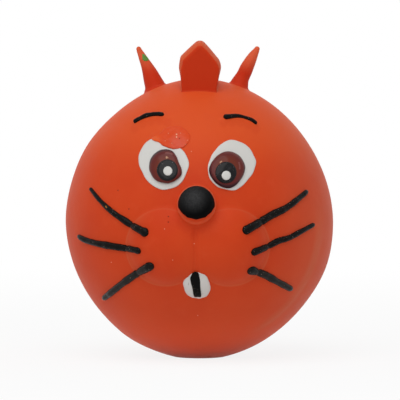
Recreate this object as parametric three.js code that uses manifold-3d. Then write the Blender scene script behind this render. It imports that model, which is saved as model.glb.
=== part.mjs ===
// Squeaky latex dog toy: a hollow ball with a moulded and hand-painted animal face,
// two pointed ears, a crest, a fibre filling and a reed squeaker plugged into its foot.
// Millimetres, +Z up, the face towards -Y, the origin at the centre of the flat foot.
// Left and right are as seen by someone who looks at the face, so left is -X.
import * as THREE from "three";
import { mergeVertices } from "three/addons/utils/BufferGeometryUtils.js";
import Module from "manifold-3d";

const wasm = await Module();
wasm.setup();

// Latex ball. Levels on the head are measured from the ball's widest level.
const ballWidth = 75;
const crownHeight = 39.8;
const bellyHeight = 39.2;
const crownCurveShare = 1.87; // exponent of the profile: 2 is an ellipse, less is more pointed
const bellyCurveShare = 1.92;
const footRadius = 7;
const latexWall = 2.4;
const mouthCollarRadius = 9.5;
const mouthCollarHeight = 4.4;

// Moulded features of the face: how wide each is on the ball and how far it stands out
const cheekSpread = 9.4;
const cheekLevel = -5.2;
const cheekRimRadius = 10.6;
const cheekProud = 3;
const toothLevel = -16;
const toothRimRadius = 4.1;
const toothProud = 1.4;
const noseLevel = 6;
const noseWidth = 10.4;
const noseHeight = 10.8;
const noseDepth = 10.4;
const noseProud = 6;

// Ears and crest
const earWidth = 5.5;
const earDepth = 5.6;
const earHeight = 11.5;
const earBack = 3;
const earRootSpread = 12.1;
const earRoot = 4;
const crestWidth = 11.9;
const crestOffset = 0.4; // to the right
const crestHeight = 13.6;
const crestDepth = 7.4;
const crestBevel = 1.4;
const crestBevelDepth = 2.2;
const crestRoot = 4.5;
const crestForward = 13.2;
const crestLean = 9; // degrees

// Paint: coats lie on the latex and on each other, beads are thick round strokes
const coatGap = 0.2;
const coatThickness = 0.3;
const eyeSpread = 9.3;
const eyeLevel = 16.9;
const eyeWhiteRadius = 6.8;
const irisSpread = 8.4;
const irisLevel = 16;
const irisRadius = 4.8;
const irisLensRadius = 5.7;
const irisLensProud = 1.7;
const pupilRadius = 2.9;
const glintRadius = 1.25;
const browThickness = 1.1;
const browProud = 0.8;
const whiskerThickness = 2;
const whiskerProud = 0.9;
const toothPaintRadius = 3.8;
const nosePaintRadius = 5.2;
const nosePaintReach = 1.1;
const smearThickness = 0.9;
const smearClearance = 0.3;

// Squeaker, measured up from the foot
const flangeRadius = 6;
const flangeThickness = 1.2;
const barrelRadius = 4.8;
const barrelWall = 0.8;
const barrelHeight = 14;
const barbProud = 0.8;
const barbHeight = 1.6;
const outletRadius = 0.9;
const outletBack = 2.1;
const reedFaceBack = 0.7;
const reedRootHeight = 2.6;
const reedTongueClearance = 1.1; // between the tongue's top and the cap's skirt
const reedTongueWidth = 4.2;
const reedTongueThickness = 2.7;
const channelWidth = 2.2;
const channelDepth = 2;
const channelEndWall = 0.9;
const reedWidth = 3.2;
const reedThickness = 0.25;
const reedRootInset = 0.3;
const reedTipInset = 0.5;
const capThickness = 1;
const capSkirtHeight = 1.4;
const capSkirtWall = 0.7;
const capSlotWidth = 1;
const capSlotLength = 4.6;
const capSlotPitch = 1.9;
const capSlotCount = 3;

// Filling and fits
const fitGap = 0.3;
const fillingGap = 0.5;
const pocketGap = 0.6;

// Mesh steps and overruns
const ballSteps = 60;
const ballRows = 30;
const insideSteps = 32;
const insideRows = 16;
const fillingSteps = 24;
const fillingRows = 12;
const lobeSteps = 32;
const noseSteps = 20;
const lensSteps = 20;
const plugSteps = 28;
const outletSteps = 12;
const earSides = 10;
const outlineSteps = 26;
const crestBevelSteps = 3;
const beadSides = 8;
const cutOverrun = 2;
const probeShare = 0.008; // how far apart two points are that give a slope, in ball widths
const mergeDistance = 1e-5;

// Outlines of the eyes in shares of the radius they are named for, from that ring's centre
const eyeShares = {
  left: {
    white: [
      [-0.52, 0.98], [-0.87, 0.65], [-1, 0.13], [-0.74, -0.51], [-0.45, -0.81], [-0.07, -0.99],
      [0.34, -0.96], [0.71, -0.76], [0.91, -0.45], [1.05, -0.01], [0.94, 0.35], [0.73, 0.61],
      [0.27, 0.88], [-0.14, 1.02],
    ],
    iris: [
      [-0.09, 1.04], [0.32, 0.96], [0.56, 0.68], [0.75, 0.28], [0.89, -0.06], [0.87, -0.4],
      [0.52, -0.72], [0.12, -0.87], [-0.35, -0.81], [-0.71, -0.59], [-0.95, -0.19],
      [-0.98, 0.2], [-0.84, 0.61], [-0.49, 0.93],
    ],
    pupil: [0.08, -0.12],
    glint: [0.11, -0.16],
  },
  right: {
    white: [
      [0.1, 0.96], [0.48, 0.83], [0.75, 0.61], [0.93, 0.3], [0.99, -0.01], [0.79, -0.5],
      [0.34, -0.93], [0.06, -1.02], [-0.52, -0.89], [-0.84, -0.55], [-0.92, -0.04],
      [-0.76, 0.38], [-0.48, 0.74], [-0.19, 0.92],
    ],
    iris: [
      [0.07, 0.93], [0.47, 0.81], [0.78, 0.55], [0.97, 0.18], [0.98, -0.17], [0.81, -0.58],
      [0.51, -0.95], [0.13, -1.13], [-0.25, -1.1], [-0.62, -0.89], [-0.93, -0.52],
      [-1.06, -0.15], [-1, 0.15], [-0.77, 0.52], [-0.4, 0.82],
    ],
    pupil: [-0.09, -0.25],
    glint: [-0.07, -0.41],
  },
};

// Latex smear that ran over the left eye, in shares of the eye white's radius
const smearShares = [
  [0.5, 1.51], [0.89, 1.34], [0.99, 1.06], [0.86, 0.75], [0.57, 0.59], [0.24, 0.64],
  [-0.01, 0.78], [-0.22, 0.88], [-0.5, 0.97], [-0.3, 1.1], [0.02, 1.24], [0.2, 1.4],
];

// Painted tooth and the line down its middle, in shares of the tooth paint's radius
const toothShares = [
  [0.02, 0.97], [0.53, 0.84], [0.9, 0.44], [1.01, 0], [0.88, -0.49], [0.55, -0.89], [0.05, -1],
  [-0.46, -0.92], [-0.77, -0.56], [-0.92, -0.26], [-0.98, 0.15], [-0.76, 0.56], [-0.4, 0.86],
];
const toothLineShares = [
  [-0.28, 0.86], [0.1, 0.87], [0.22, 0.53], [0.27, -0.12], [0.31, -0.84], [0.06, -0.9],
  [-0.2, -0.84], [-0.33, -0.13], [-0.44, 0.53],
];

// Lower edge of the nose paint, from left to right, in shares of the nose paint's radius
const nosePaintShares = [
  [-1.3, 1.3], [-1.3, 0.1], [-0.95, -0.1], [-0.77, -0.41], [-0.46, -0.64], [0, -0.72],
  [0.48, -0.63], [0.79, -0.38], [0.95, -0.06], [1.3, 0.1], [1.3, 1.3],
];

// Painted strokes: the path across and up, and the stroke's thickness at its start, middle and
// end in shares of the full one. A brow's path is in shares of the eye white's radius, from the
// white's centre, and a whisker's in shares of the ball's half width, from the widest level.
const browShares = {
  left: {
    path: [[-1.2, 1.64], [-0.915, 1.86], [-0.607, 1.97], [-0.292, 2.004], [-0.022, 1.982]],
    thickness: [0.8, 1, 0.95],
  },
  right: {
    path: [[-0.298, 1.893], [-0.077, 1.91], [0.226, 1.893], [0.579, 1.816], [0.844, 1.695],
      [0.998, 1.574]],
    thickness: [1.1, 0.8, 0.8],
  },
};
const whiskerShares = {
  left_upper: {
    path: [[-0.789, 0.261], [-0.732, 0.201], [-0.669, 0.141], [-0.599, 0.084], [-0.538, 0.049],
      [-0.492, 0.012], [-0.43, -0.021], [-0.373, -0.044]],
    thickness: [0.45, 0.65, 0.85],
  },
  left_middle: {
    path: [[-0.884, -0.097], [-0.82, -0.121], [-0.724, -0.141], [-0.631, -0.154],
      [-0.531, -0.169], [-0.477, -0.173], [-0.423, -0.18]],
    thickness: [0.45, 0.9, 0.75],
  },
  left_lower: {
    path: [[-0.689, -0.554], [-0.623, -0.499], [-0.543, -0.431], [-0.465, -0.365],
      [-0.403, -0.323], [-0.333, -0.28]],
    thickness: [0.75, 0.85, 1],
  },
  right_upper: {
    path: [[0.8, 0.242], [0.753, 0.209], [0.65, 0.133], [0.548, 0.085], [0.446, 0.028],
      [0.365, -0.011]],
    thickness: [0.45, 0.95, 1.15],
  },
  right_middle: {
    path: [[0.846, -0.002], [0.753, -0.042], [0.67, -0.079], [0.589, -0.101], [0.507, -0.149],
      [0.417, -0.184]],
    thickness: [0.5, 0.75, 0.9],
  },
  right_lower: {
    path: [[0.687, -0.478], [0.579, -0.405], [0.487, -0.348], [0.395, -0.316]],
    thickness: [0.7, 0.85, 1],
  },
};

// Ears from root to tip: across (outwards) and up in shares of the height, then the width
const earShares = {
  left: [
    [0, 0, 1.15], [0.07, 0.18, 1], [0.15, 0.38, 0.82], [0.22, 0.54, 0.67], [0.3, 0.7, 0.52],
    [0.36, 0.83, 0.44], [0.42, 0.94, 0.32], [0.45, 1, 0.13],
  ],
  right: [
    [-0.15, 0, 1.1], [-0.08, 0.2, 0.88], [0.01, 0.33, 0.77], [0.09, 0.5, 0.74], [0.2, 0.71, 0.6],
    [0.29, 0.875, 0.44], [0.36, 0.96, 0.3], [0.37, 1, 0.13],
  ],
};
const fleckShares = [[0.27, 0.76], [0.35, 0.71], [0.46, 0.75], [0.45, 0.86], [0.36, 0.91], [0.29, 0.85]];

// Outline of the crest from its left root over its point to its right root, in shares of half
// the width and of the height
const crestShares = [
  [-0.897, 0], [-0.914, 0.22], [-0.995, 0.445], [-0.919, 0.62], [-0.545, 0.83], [-0.13, 0.985],
  [0.13, 0.985], [0.405, 0.862], [0.925, 0.58], [1, 0.45], [0.895, 0.22], [0.816, 0],
];

// How round the ends of a painted stroke are, ring by ring, in shares of its half thickness
const strokeEndShares = [0.03, 0.3];

// A closed three.js geometry as a solid that can be joined and cut.
function solidFrom(geometry) {
  geometry.deleteAttribute("normal");
  geometry.deleteAttribute("uv");
  const merged = mergeVertices(geometry, mergeDistance);
  const corners = merged.index.array;
  const faces = [];
  for (let i = 0; i < corners.length; i += 3) {
    const [a, b, c] = corners.slice(i, i + 3);
    if (a !== b && b !== c && c !== a) faces.push(a, b, c);
  }
  return new wasm.Manifold(
    new wasm.Mesh({
      numProp: 3,
      vertProperties: merged.attributes.position.array,
      triVerts: new Uint32Array(faces),
    }),
  );
}

// A solid as a geometry for a mesh, with a flat normal on each facet.
function geometryFrom(solid) {
  const mesh = solid.getMesh();
  const geometry = new THREE.BufferGeometry();
  geometry.setAttribute("position", new THREE.BufferAttribute(new Float32Array(mesh.vertProperties), 3));
  geometry.setIndex(new THREE.BufferAttribute(new Uint32Array(mesh.triVerts), 1));
  const faceted = geometry.toNonIndexed();
  faceted.computeVertexNormals();
  return faceted;
}

// A solid turned about Z from a profile of radius and height that starts and ends on the axis.
function revolve(profile, steps) {
  const lathe = new THREE.LatheGeometry(profile, steps);
  return solidFrom(lathe.rotateX(Math.PI / 2));
}

// A round plug about Z.
function plug(radius, from, to, steps = plugSteps) {
  const corners = [[0, from], [radius, from], [radius, to], [0, to]];
  return revolve(corners.map(([r, z]) => new THREE.Vector2(r, z)), steps);
}

// A block between two corners.
function block(low, high) {
  const size = high.map((value, i) => value - low[i]);
  const middle = high.map((value, i) => (value + low[i]) / 2);
  return solidFrom(new THREE.BoxGeometry(...size).translate(...middle));
}

// A solid that lies on its side: an outline drawn across and up, pushed from y = 0 towards -Y.
function pushForward(shape, depth) {
  const solid = new THREE.ExtrudeGeometry(shape, { depth, bevelEnabled: false });
  return solidFrom(solid.rotateX(Math.PI / 2));
}

// A smooth closed outline through points given as shares of a size about a centre.
function closedShape(shares, size, across, level, steps = outlineSteps) {
  const points = shares.map(([x, z]) => new THREE.Vector3(across + x * size, level + z * size, 0));
  const curve = new THREE.CatmullRomCurve3(points, true, "catmullrom");
  const outline = curve.getPoints(steps).slice(0, -1);
  return new THREE.Shape(outline.map((p) => new THREE.Vector2(p.x, p.y)));
}

// A closed body through rings of points that run one way round, with a fan on each end.
function loft(rings) {
  const count = rings[0].length;
  const points = rings.flat();
  const faces = [];
  for (let row = 0; row + 1 < rings.length; row++) {
    for (let i = 0; i < count; i++) {
      const a = row * count + i;
      const b = row * count + ((i + 1) % count);
      faces.push(a, b, b + count, a, b + count, a + count);
    }
  }
  for (const [row, turn] of [[0, 1], [rings.length - 1, -1]]) {
    const middle = new THREE.Vector3();
    rings[row].forEach((p) => middle.addScaledVector(p, 1 / count));
    points.push(middle);
    for (let i = 0; i < count; i++) {
      const a = row * count + i;
      const b = row * count + ((i + 1) % count);
      faces.push(...(turn > 0 ? [b, a, points.length - 1] : [a, b, points.length - 1]));
    }
  }
  const geometry = new THREE.BufferGeometry();
  geometry.setAttribute("position", new THREE.Float32BufferAttribute(points.flatMap((p) => p.toArray()), 3));
  geometry.setIndex(faces);
  return solidFrom(geometry);
}

// Radius of the round form at a level, and how far from the widest level it has a radius.
function radiusAt(level) {
  const height = level > 0 ? crownHeight : bellyHeight;
  const curve = level > 0 ? crownCurveShare : bellyCurveShare;
  return (ballWidth / 2) * Math.max(1 - (Math.abs(level) / height) ** curve, 0) ** (1 / curve);
}
function heightAt(radius, height, curve) {
  return height * (1 - (radius / (ballWidth / 2)) ** curve) ** (1 / curve);
}

// Profile of the round form, from its lowest point to its crown, grown by an offset.
function ballProfile(offset, rows) {
  const points = [];
  for (let i = 0; i <= rows; i++) {
    const turn = Math.PI * (i / rows - 0.5);
    const height = (turn > 0 ? crownHeight : bellyHeight) + offset;
    const curve = turn > 0 ? crownCurveShare : bellyCurveShare;
    const radius = (ballWidth / 2 + offset) * Math.abs(Math.cos(turn)) ** (2 / curve);
    const level = Math.sign(turn) * height * Math.abs(Math.sin(turn)) ** (2 / curve);
    const onAxis = i === 0 || i === rows;
    points.push(new THREE.Vector2(onAxis ? 0 : radius, level));
  }
  return points;
}

// Point of the plain ball in front of a place on the face, and the direction out of it there.
function ballPoint(x, level) {
  return new THREE.Vector3(x, -Math.sqrt(Math.max(radiusAt(level) ** 2 - x ** 2, 0)), level);
}
const probe = ballWidth * probeShare;
function outward(point, x, level) {
  const across = point(x + probe, level).sub(point(x - probe, level));
  const up = point(x, level + probe).sub(point(x, level - probe));
  return across.cross(up).normalize();
}

// A round lobe that meets the ball in a rim of one radius and stands out from it in the middle.
function lobeOnBall(x, level, rimRadius, proud) {
  const ballRadius = ballWidth / 2;
  const cap = proud + ballRadius - Math.sqrt(ballRadius ** 2 - rimRadius ** 2);
  const radius = (rimRadius ** 2 + cap ** 2) / (2 * cap);
  const centre = ballPoint(x, level).addScaledVector(outward(ballPoint, x, level), proud - radius);
  return { centre, radii: new THREE.Vector3(radius, radius, radius), steps: lobeSteps };
}

const noseFront = ballPoint(0, noseLevel).y - noseProud;
const lobes = {
  cheekLeft: lobeOnBall(-cheekSpread, cheekLevel, cheekRimRadius, cheekProud),
  cheekRight: lobeOnBall(cheekSpread, cheekLevel, cheekRimRadius, cheekProud),
  tooth: lobeOnBall(0, toothLevel, toothRimRadius, toothProud),
  nose: {
    centre: new THREE.Vector3(0, noseFront + noseDepth / 2, noseLevel),
    radii: new THREE.Vector3(noseWidth / 2, noseDepth / 2, noseHeight / 2),
    steps: noseSteps,
  },
};

function lobeForm({ centre, radii, steps }, offset) {
  const ball = new THREE.SphereGeometry(1, steps, steps / 2);
  ball.scale(radii.x + offset, radii.y + offset, radii.z + offset);
  return solidFrom(ball.rotateX(Math.PI / 2).translate(...centre.toArray()));
}

// Front of the moulded head at a place on the face: the foremost of the ball and its lobes.
function headPoint(x, level) {
  const point = ballPoint(x, level);
  for (const { centre, radii } of Object.values(lobes)) {
    const inside = 1 - ((x - centre.x) / radii.x) ** 2 - ((level - centre.z) / radii.z) ** 2;
    if (inside > 0) point.y = Math.min(point.y, centre.y - radii.y * Math.sqrt(inside));
  }
  return point;
}

// The whole moulded head, grown by an offset: the surfaces that coats of paint lie between.
const headForms = new Map();
function headForm(offset) {
  if (!headForms.has(offset)) {
    let form = revolve(ballProfile(offset, ballRows), ballSteps);
    for (const lobe of Object.values(lobes)) form = form.add(lobeForm(lobe, offset));
    headForms.set(offset, form);
  }
  return headForms.get(offset);
}

// A coat of paint inside an outline, between two heights over the latex.
function coat(shape, from, to) {
  return pushForward(shape, ballWidth).intersect(headForm(to)).subtract(headForm(from));
}

// A thick round stroke along a path on the face, flat underneath where it lies on the latex.
// Its path is in shares of a size, from a place across and up.
function bead({ path, thickness }, size, [across, level], fullThickness, proud) {
  const places = path.map(([x, z]) => new THREE.Vector3(across + x * size, level + z * size, 0));
  const curve = new THREE.CatmullRomCurve3(places, false, "catmullrom");
  const [start, middle, end] = thickness;
  const radiusAlong = (share) => {
    const near = Math.abs(1 - 2 * share);
    const full = middle + ((share < 0.5 ? start : end) - middle) * near;
    return (full * fullThickness) / 2;
  };
  const length = curve.getLength();
  const first = radiusAlong(0) / length;
  const last = radiusAlong(1) / length;
  const count = path.length + 2;
  const stations = strokeEndShares.map((roundShare) => [roundShare * first, roundShare]);
  for (let i = 0; i <= count; i++) {
    stations.push([first + ((1 - last - first) * i) / count, 1]);
  }
  for (const roundShare of strokeEndShares.toReversed()) {
    stations.push([1 - roundShare * last, roundShare]);
  }
  const rings = stations.map(([share, roundShare]) => {
    const place = curve.getPointAt(share);
    const ahead = curve.getTangentAt(share).multiplyScalar(probe);
    const centre = headPoint(place.x, place.y);
    const along = headPoint(place.x + ahead.x, place.y + ahead.y)
      .sub(headPoint(place.x - ahead.x, place.y - ahead.y))
      .normalize();
    const out = outward(headPoint, place.x, place.y);
    const side = out.clone().cross(along).normalize();
    const round = Math.sqrt(1 - (1 - roundShare) ** 2);
    const ring = [];
    for (let i = 0; i < beadSides; i++) {
      const turn = (2 * Math.PI * i) / beadSides;
      ring.push(
        centre
          .clone()
          .addScaledVector(side, Math.cos(turn) * radiusAlong(share) * round)
          .addScaledVector(out, coatGap + Math.sin(turn) * proud * round),
      );
    }
    return ring;
  });
  return loft(rings).subtract(headForm(coatGap));
}

// The hollow latex skin with its cheeks, nose, tooth pad, flat foot and mouth for the squeaker.
const footLevel = -heightAt(footRadius, bellyHeight, bellyCurveShare);
const mouthRadius = barrelRadius + fitGap;
const mouthRecessRadius = flangeRadius + fitGap;
const mouthRecessDepth = flangeThickness + fitGap;

function ballSkin() {
  let inside = revolve(ballProfile(-latexWall, insideRows), insideSteps);
  inside = inside.add(lobeForm(lobes.cheekLeft, -latexWall)).add(lobeForm(lobes.cheekRight, -latexWall));
  inside = inside.subtract(plug(mouthCollarRadius, -bellyHeight, footLevel + mouthCollarHeight));
  const below = plug(2 * footRadius, -bellyHeight - cutOverrun, footLevel);
  const mouth = plug(mouthRadius, -bellyHeight, footLevel + mouthCollarHeight + cutOverrun);
  const recess = plug(mouthRecessRadius, -bellyHeight, footLevel + mouthRecessDepth);
  return headForm(0).subtract(below).subtract(inside).subtract(mouth).subtract(recess);
}

// Wadding that keeps the thin skin round, with a pocket for the squeaker.
function fibreFilling() {
  const collarTop = footLevel + mouthCollarHeight + pocketGap;
  const capTop = footLevel + barrelHeight + fitGap + capThickness + pocketGap;
  const collarPocket = plug(mouthCollarRadius + pocketGap, -bellyHeight, collarTop);
  const barrelPocket = plug(barrelRadius + barbProud + pocketGap, -bellyHeight, capTop);
  const body = revolve(ballProfile(-latexWall - fillingGap, fillingRows), fillingSteps);
  return body.subtract(collarPocket).subtract(barrelPocket);
}

// A pointed ear: oval level sections that lean outwards, rooted in the ball.
function earForm(side, offset) {
  const sign = side === "left" ? -1 : 1;
  const rootLevel = heightAt(Math.hypot(earRootSpread, earBack), crownHeight, crownCurveShare);
  const [[rootAcross, , rootWidth]] = earShares[side];
  const stations = [[rootAcross, -earRoot / earHeight, rootWidth], ...earShares[side]];
  const rings = stations.map(([across, up, width], row) => {
    const tip = row === stations.length - 1 ? offset : 0;
    const ring = [];
    for (let i = 0; i < earSides; i++) {
      const turn = (2 * Math.PI * i) / earSides;
      ring.push(
        new THREE.Vector3(
          sign * (earRootSpread + across * earHeight) + Math.cos(turn) * ((width * earWidth) / 2 + offset),
          earBack + Math.sin(turn) * ((width * earDepth) / 2 + offset),
          rootLevel + up * earHeight + tip,
        ),
      );
    }
    return ring;
  });
  return { form: loft(rings), sign, rootLevel };
}

function ear(side) {
  return earForm(side, 0).form.subtract(headForm(fitGap));
}

// A fleck of stray paint on the front of the left ear.
function earFleck() {
  const outer = earForm("left", coatGap + coatThickness);
  const points = fleckShares.map(([across, up]) => {
    return new THREE.Vector2(-earRootSpread - across * earHeight, outer.rootLevel + up * earHeight);
  });
  const front = pushForward(new THREE.Shape(points), ballWidth).translate(0, earBack - coatThickness, 0);
  return front.intersect(outer.form).subtract(earForm("left", coatGap).form);
}

// The crest: a thick pointed block with rounded edges that leans over the forehead.
function crest() {
  const half = crestWidth / 2;
  const outline = crestShares.map(([x, z]) => new THREE.Vector2(crestOffset + x * half, z * crestHeight));
  outline.unshift(new THREE.Vector2(outline[0].x, -crestRoot));
  outline.push(new THREE.Vector2(outline[outline.length - 1].x, -crestRoot));
  const body = new THREE.ExtrudeGeometry(new THREE.Shape(outline), {
    depth: crestDepth - 2 * crestBevelDepth,
    bevelThickness: crestBevelDepth,
    bevelSize: crestBevel,
    bevelOffset: -crestBevel,
    bevelSegments: crestBevelSteps,
  });
  body.translate(0, 0, crestBevelDepth - crestDepth);
  body.rotateX(Math.PI / 2 + THREE.MathUtils.degToRad(crestLean));
  body.translate(0, -crestForward, heightAt(crestForward, crownHeight, crownCurveShare));
  return solidFrom(body).subtract(headForm(fitGap));
}

// Eyes: a flat white, a domed lacquer iris, and a pupil and glint that follow the dome.
function eyeParts(side) {
  const sign = side === "left" ? -1 : 1;
  const shares = eyeShares[side];
  const irisCentre = [sign * irisSpread, irisLevel];
  const disc = (share, radius) => {
    const shape = new THREE.Shape();
    const across = irisCentre[0] + share[0] * irisRadius;
    return shape.absarc(across, irisCentre[1] + share[1] * irisRadius, radius, 0, 2 * Math.PI);
  };
  const lens = (offset) => {
    const dome = new THREE.SphereGeometry(1, lensSteps, lensSteps / 2).rotateX(Math.PI / 2);
    dome.scale(irisLensRadius + offset, irisLensRadius + offset, irisLensProud + offset);
    const out = outward(ballPoint, ...irisCentre);
    dome.applyQuaternion(new THREE.Quaternion().setFromUnitVectors(new THREE.Vector3(0, 0, 1), out));
    return solidFrom(dome.translate(...ballPoint(...irisCentre).toArray()));
  };
  const underEye = headForm(2 * coatGap + coatThickness);
  const layered = (shape, from, to) =>
    pushForward(shape, ballWidth).intersect(lens(to)).subtract(lens(from)).subtract(underEye);
  const white = closedShape(shares.white, eyeWhiteRadius, sign * eyeSpread, eyeLevel);
  const iris = closedShape(shares.iris, irisRadius, ...irisCentre);
  const coatTop = coatGap + coatThickness;
  const glintFrom = coatTop + coatGap;
  return {
    white: coat(white, coatGap, coatTop),
    iris: pushForward(iris, ballWidth).intersect(lens(0)).subtract(underEye),
    pupil: layered(disc(shares.pupil, pupilRadius), coatGap, coatTop),
    glint: layered(disc(shares.glint, glintRadius), glintFrom, glintFrom + coatThickness),
  };
}

// The smear lies on the forehead and runs down over the white of the left eye.
function latexSmear() {
  const left = eyeShares.left;
  const whiteTop = coatGap + coatThickness;
  const outline = closedShape(smearShares, eyeWhiteRadius, -eyeSpread, eyeLevel);
  const smear = coat(outline, coatGap, coatGap + smearThickness);
  const grown = (shares, radius, across, level) => {
    const grow = (radius + smearClearance) / radius;
    return closedShape(shares.map(([x, z]) => [x * grow, z * grow]), radius, across, level);
  };
  const white = grown(left.white, eyeWhiteRadius, -eyeSpread, eyeLevel);
  const iris = grown(left.iris, irisRadius, -irisSpread, irisLevel);
  const overWhite = pushForward(white, ballWidth).intersect(headForm(whiteTop + coatGap));
  return smear.subtract(overWhite).subtract(pushForward(iris, ballWidth));
}

// Black paint over the front of the nose knob, down to its lower edge.
function nosePaint() {
  const cover = lobeForm(lobes.nose, coatGap + coatThickness).subtract(headForm(coatGap));
  const points = nosePaintShares.map(([x, z]) => {
    return new THREE.Vector2(x * nosePaintRadius, noseLevel + z * nosePaintRadius);
  });
  const back = lobes.nose.centre.y + nosePaintReach;
  const front = pushForward(new THREE.Shape(points), ballWidth).translate(0, back, 0);
  return cover.intersect(front);
}

// The squeaker's cup: a face plate with its outlet, a barrel, and barbs that lock in the mouth.
const seatLevel = flangeThickness + fitGap;
const rootTop = seatLevel + reedRootHeight;
const boreRadius = barrelRadius - barrelWall;
const seatRadius = boreRadius - fitGap;
const reedBack = reedFaceBack - fitGap;
const clipFace = reedBack - reedThickness - fitGap;
const skirtFrom = barrelHeight - capSkirtHeight;
const tongueTop = skirtFrom - reedTongueClearance;

function squeakerBody() {
  const barbFrom = mouthCollarHeight + fitGap;
  const profile = [
    [0, 0], [flangeRadius, 0], [flangeRadius, flangeThickness], [barrelRadius, flangeThickness],
    [barrelRadius, barbFrom], [barrelRadius + barbProud, barbFrom],
    [barrelRadius, barbFrom + barbHeight], [barrelRadius, barrelHeight],
    [boreRadius, barrelHeight], [boreRadius, flangeThickness], [0, flangeThickness],
  ];
  const cup = revolve(profile.map(([r, z]) => new THREE.Vector2(r, z)), plugSteps);
  const outlet = plug(outletRadius, -cutOverrun, flangeThickness + cutOverrun, outletSteps);
  return cup.subtract(outlet.translate(0, outletBack, 0));
}

// The reed's seat: a half-round root and a tongue with an air channel that leads to the outlet.
function reedSeat() {
  const root = block([-barrelRadius, reedFaceBack, 0], [barrelRadius, barrelRadius, rootTop]);
  const tongueHalf = reedTongueWidth / 2;
  const tongueBack = reedFaceBack + reedTongueThickness;
  const tongue = block([-tongueHalf, reedFaceBack, seatLevel], [tongueHalf, tongueBack, tongueTop]);
  const channel = block(
    [-channelWidth / 2, reedFaceBack - cutOverrun, seatLevel - cutOverrun],
    [channelWidth / 2, reedFaceBack + channelDepth, tongueTop - channelEndWall],
  );
  return root.add(tongue).intersect(plug(seatRadius, seatLevel, tongueTop)).subtract(channel);
}

// The half-round clip that holds the reed's root against its seat.
function reedClip() {
  return plug(seatRadius, seatLevel, rootTop).intersect(
    block([-barrelRadius, -barrelRadius, 0], [barrelRadius, clipFace, rootTop]),
  );
}

// The reed: a thin strip whose free tip beats on the channel.
function reed() {
  return block(
    [-reedWidth / 2, reedBack - reedThickness, seatLevel + reedRootInset],
    [reedWidth / 2, reedBack, tongueTop - reedTipInset],
  );
}

// The slotted cap that lets air into the barrel and keeps the fibres out.
function squeakerCap() {
  const lidFrom = barrelHeight + fitGap;
  const profile = [
    [0, lidFrom], [seatRadius - capSkirtWall, lidFrom], [seatRadius - capSkirtWall, skirtFrom],
    [seatRadius, skirtFrom], [seatRadius, lidFrom], [barrelRadius, lidFrom],
    [barrelRadius, lidFrom + capThickness], [0, lidFrom + capThickness],
  ];
  let cap = revolve(profile.map(([r, z]) => new THREE.Vector2(r, z)), plugSteps);
  for (let i = 0; i < capSlotCount; i++) {
    const x = (i - (capSlotCount - 1) / 2) * capSlotPitch;
    const slot = block(
      [x - capSlotWidth / 2, -capSlotLength / 2, skirtFrom],
      [x + capSlotWidth / 2, capSlotLength / 2, lidFrom + capThickness + cutOverrun],
    );
    cap = cap.subtract(slot);
  }
  return cap;
}

// Finishes
const finish = (colour, roughness, metalness = 0) =>
  new THREE.MeshStandardMaterial({ color: colour, roughness, metalness, flatShading: true });
const latex = () => finish(0xce4924, 0.6);
const blackPaint = () => finish(0x201c1c, 0.35);
const whitePaint = () => finish(0xcecccb, 0.5);
const irisLacquer = () => finish(0x5d2320, 0.2);
const pupilLacquer = () => finish(0x161415, 0.15);
const smearLatex = () => finish(0xda5f3d, 0.25);
const greenPaint = () => finish(0x648c3c, 0.5);
const whitePlastic = () => finish(0xe6e3da, 0.4);
const reedBronze = () => finish(0xb8863b, 0.3, 1);
const wadding = () => finish(0xf0eee8, 0.95);

function piece(name, solid, material) {
  const mesh = new THREE.Mesh(geometryFrom(solid), material);
  mesh.name = name;
  return mesh;
}

const head = new THREE.Group();
head.position.z = -footLevel;
head.add(piece("ball_skin", ballSkin(), latex()));
head.add(piece("crest", crest(), latex()));
head.add(piece("fibre_filling", fibreFilling(), wadding()));
head.add(piece("nose_paint", nosePaint(), blackPaint()));
for (const side of ["left", "right"]) {
  const eye = eyeParts(side);
  head.add(piece("ear_" + side, ear(side), latex()));
  head.add(piece("eye_white_" + side, eye.white, whitePaint()));
  head.add(piece("iris_" + side, eye.iris, irisLacquer()));
  head.add(piece("pupil_" + side, eye.pupil, pupilLacquer()));
  head.add(piece("glint_" + side, eye.glint, whitePaint()));
  const eyeCentre = [side === "left" ? -eyeSpread : eyeSpread, eyeLevel];
  const brow = bead(browShares[side], eyeWhiteRadius, eyeCentre, browThickness, browProud);
  head.add(piece("brow_" + side, brow, blackPaint()));
}
for (const [place, stroke] of Object.entries(whiskerShares)) {
  const whisker = bead(stroke, ballWidth / 2, [0, 0], whiskerThickness, whiskerProud);
  head.add(piece("whisker_" + place, whisker, blackPaint()));
}
const toothTop = coatGap + coatThickness;
const toothCoat = coat(closedShape(toothShares, toothPaintRadius, 0, toothLevel), coatGap, toothTop);
const toothLine = coat(
  closedShape(toothLineShares, toothPaintRadius, 0, toothLevel),
  toothTop + coatGap,
  toothTop + coatGap + coatThickness,
);
head.add(piece("tooth_paint", toothCoat, whitePaint()));
head.add(piece("tooth_line", toothLine, blackPaint()));
head.add(piece("latex_smear", latexSmear(), smearLatex()));
head.add(piece("ear_paint_fleck", earFleck(), greenPaint()));

const squeaker = new THREE.Group();
squeaker.add(piece("squeaker_body", squeakerBody(), whitePlastic()));
squeaker.add(piece("reed_seat", reedSeat(), whitePlastic()));
squeaker.add(piece("reed_clip", reedClip(), whitePlastic()));
squeaker.add(piece("reed", reed(), reedBronze()));
squeaker.add(piece("squeaker_cap", squeakerCap(), whitePlastic()));

const toy = new THREE.Group();
toy.add(head, squeaker);
export default toy;
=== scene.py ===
import math

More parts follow.
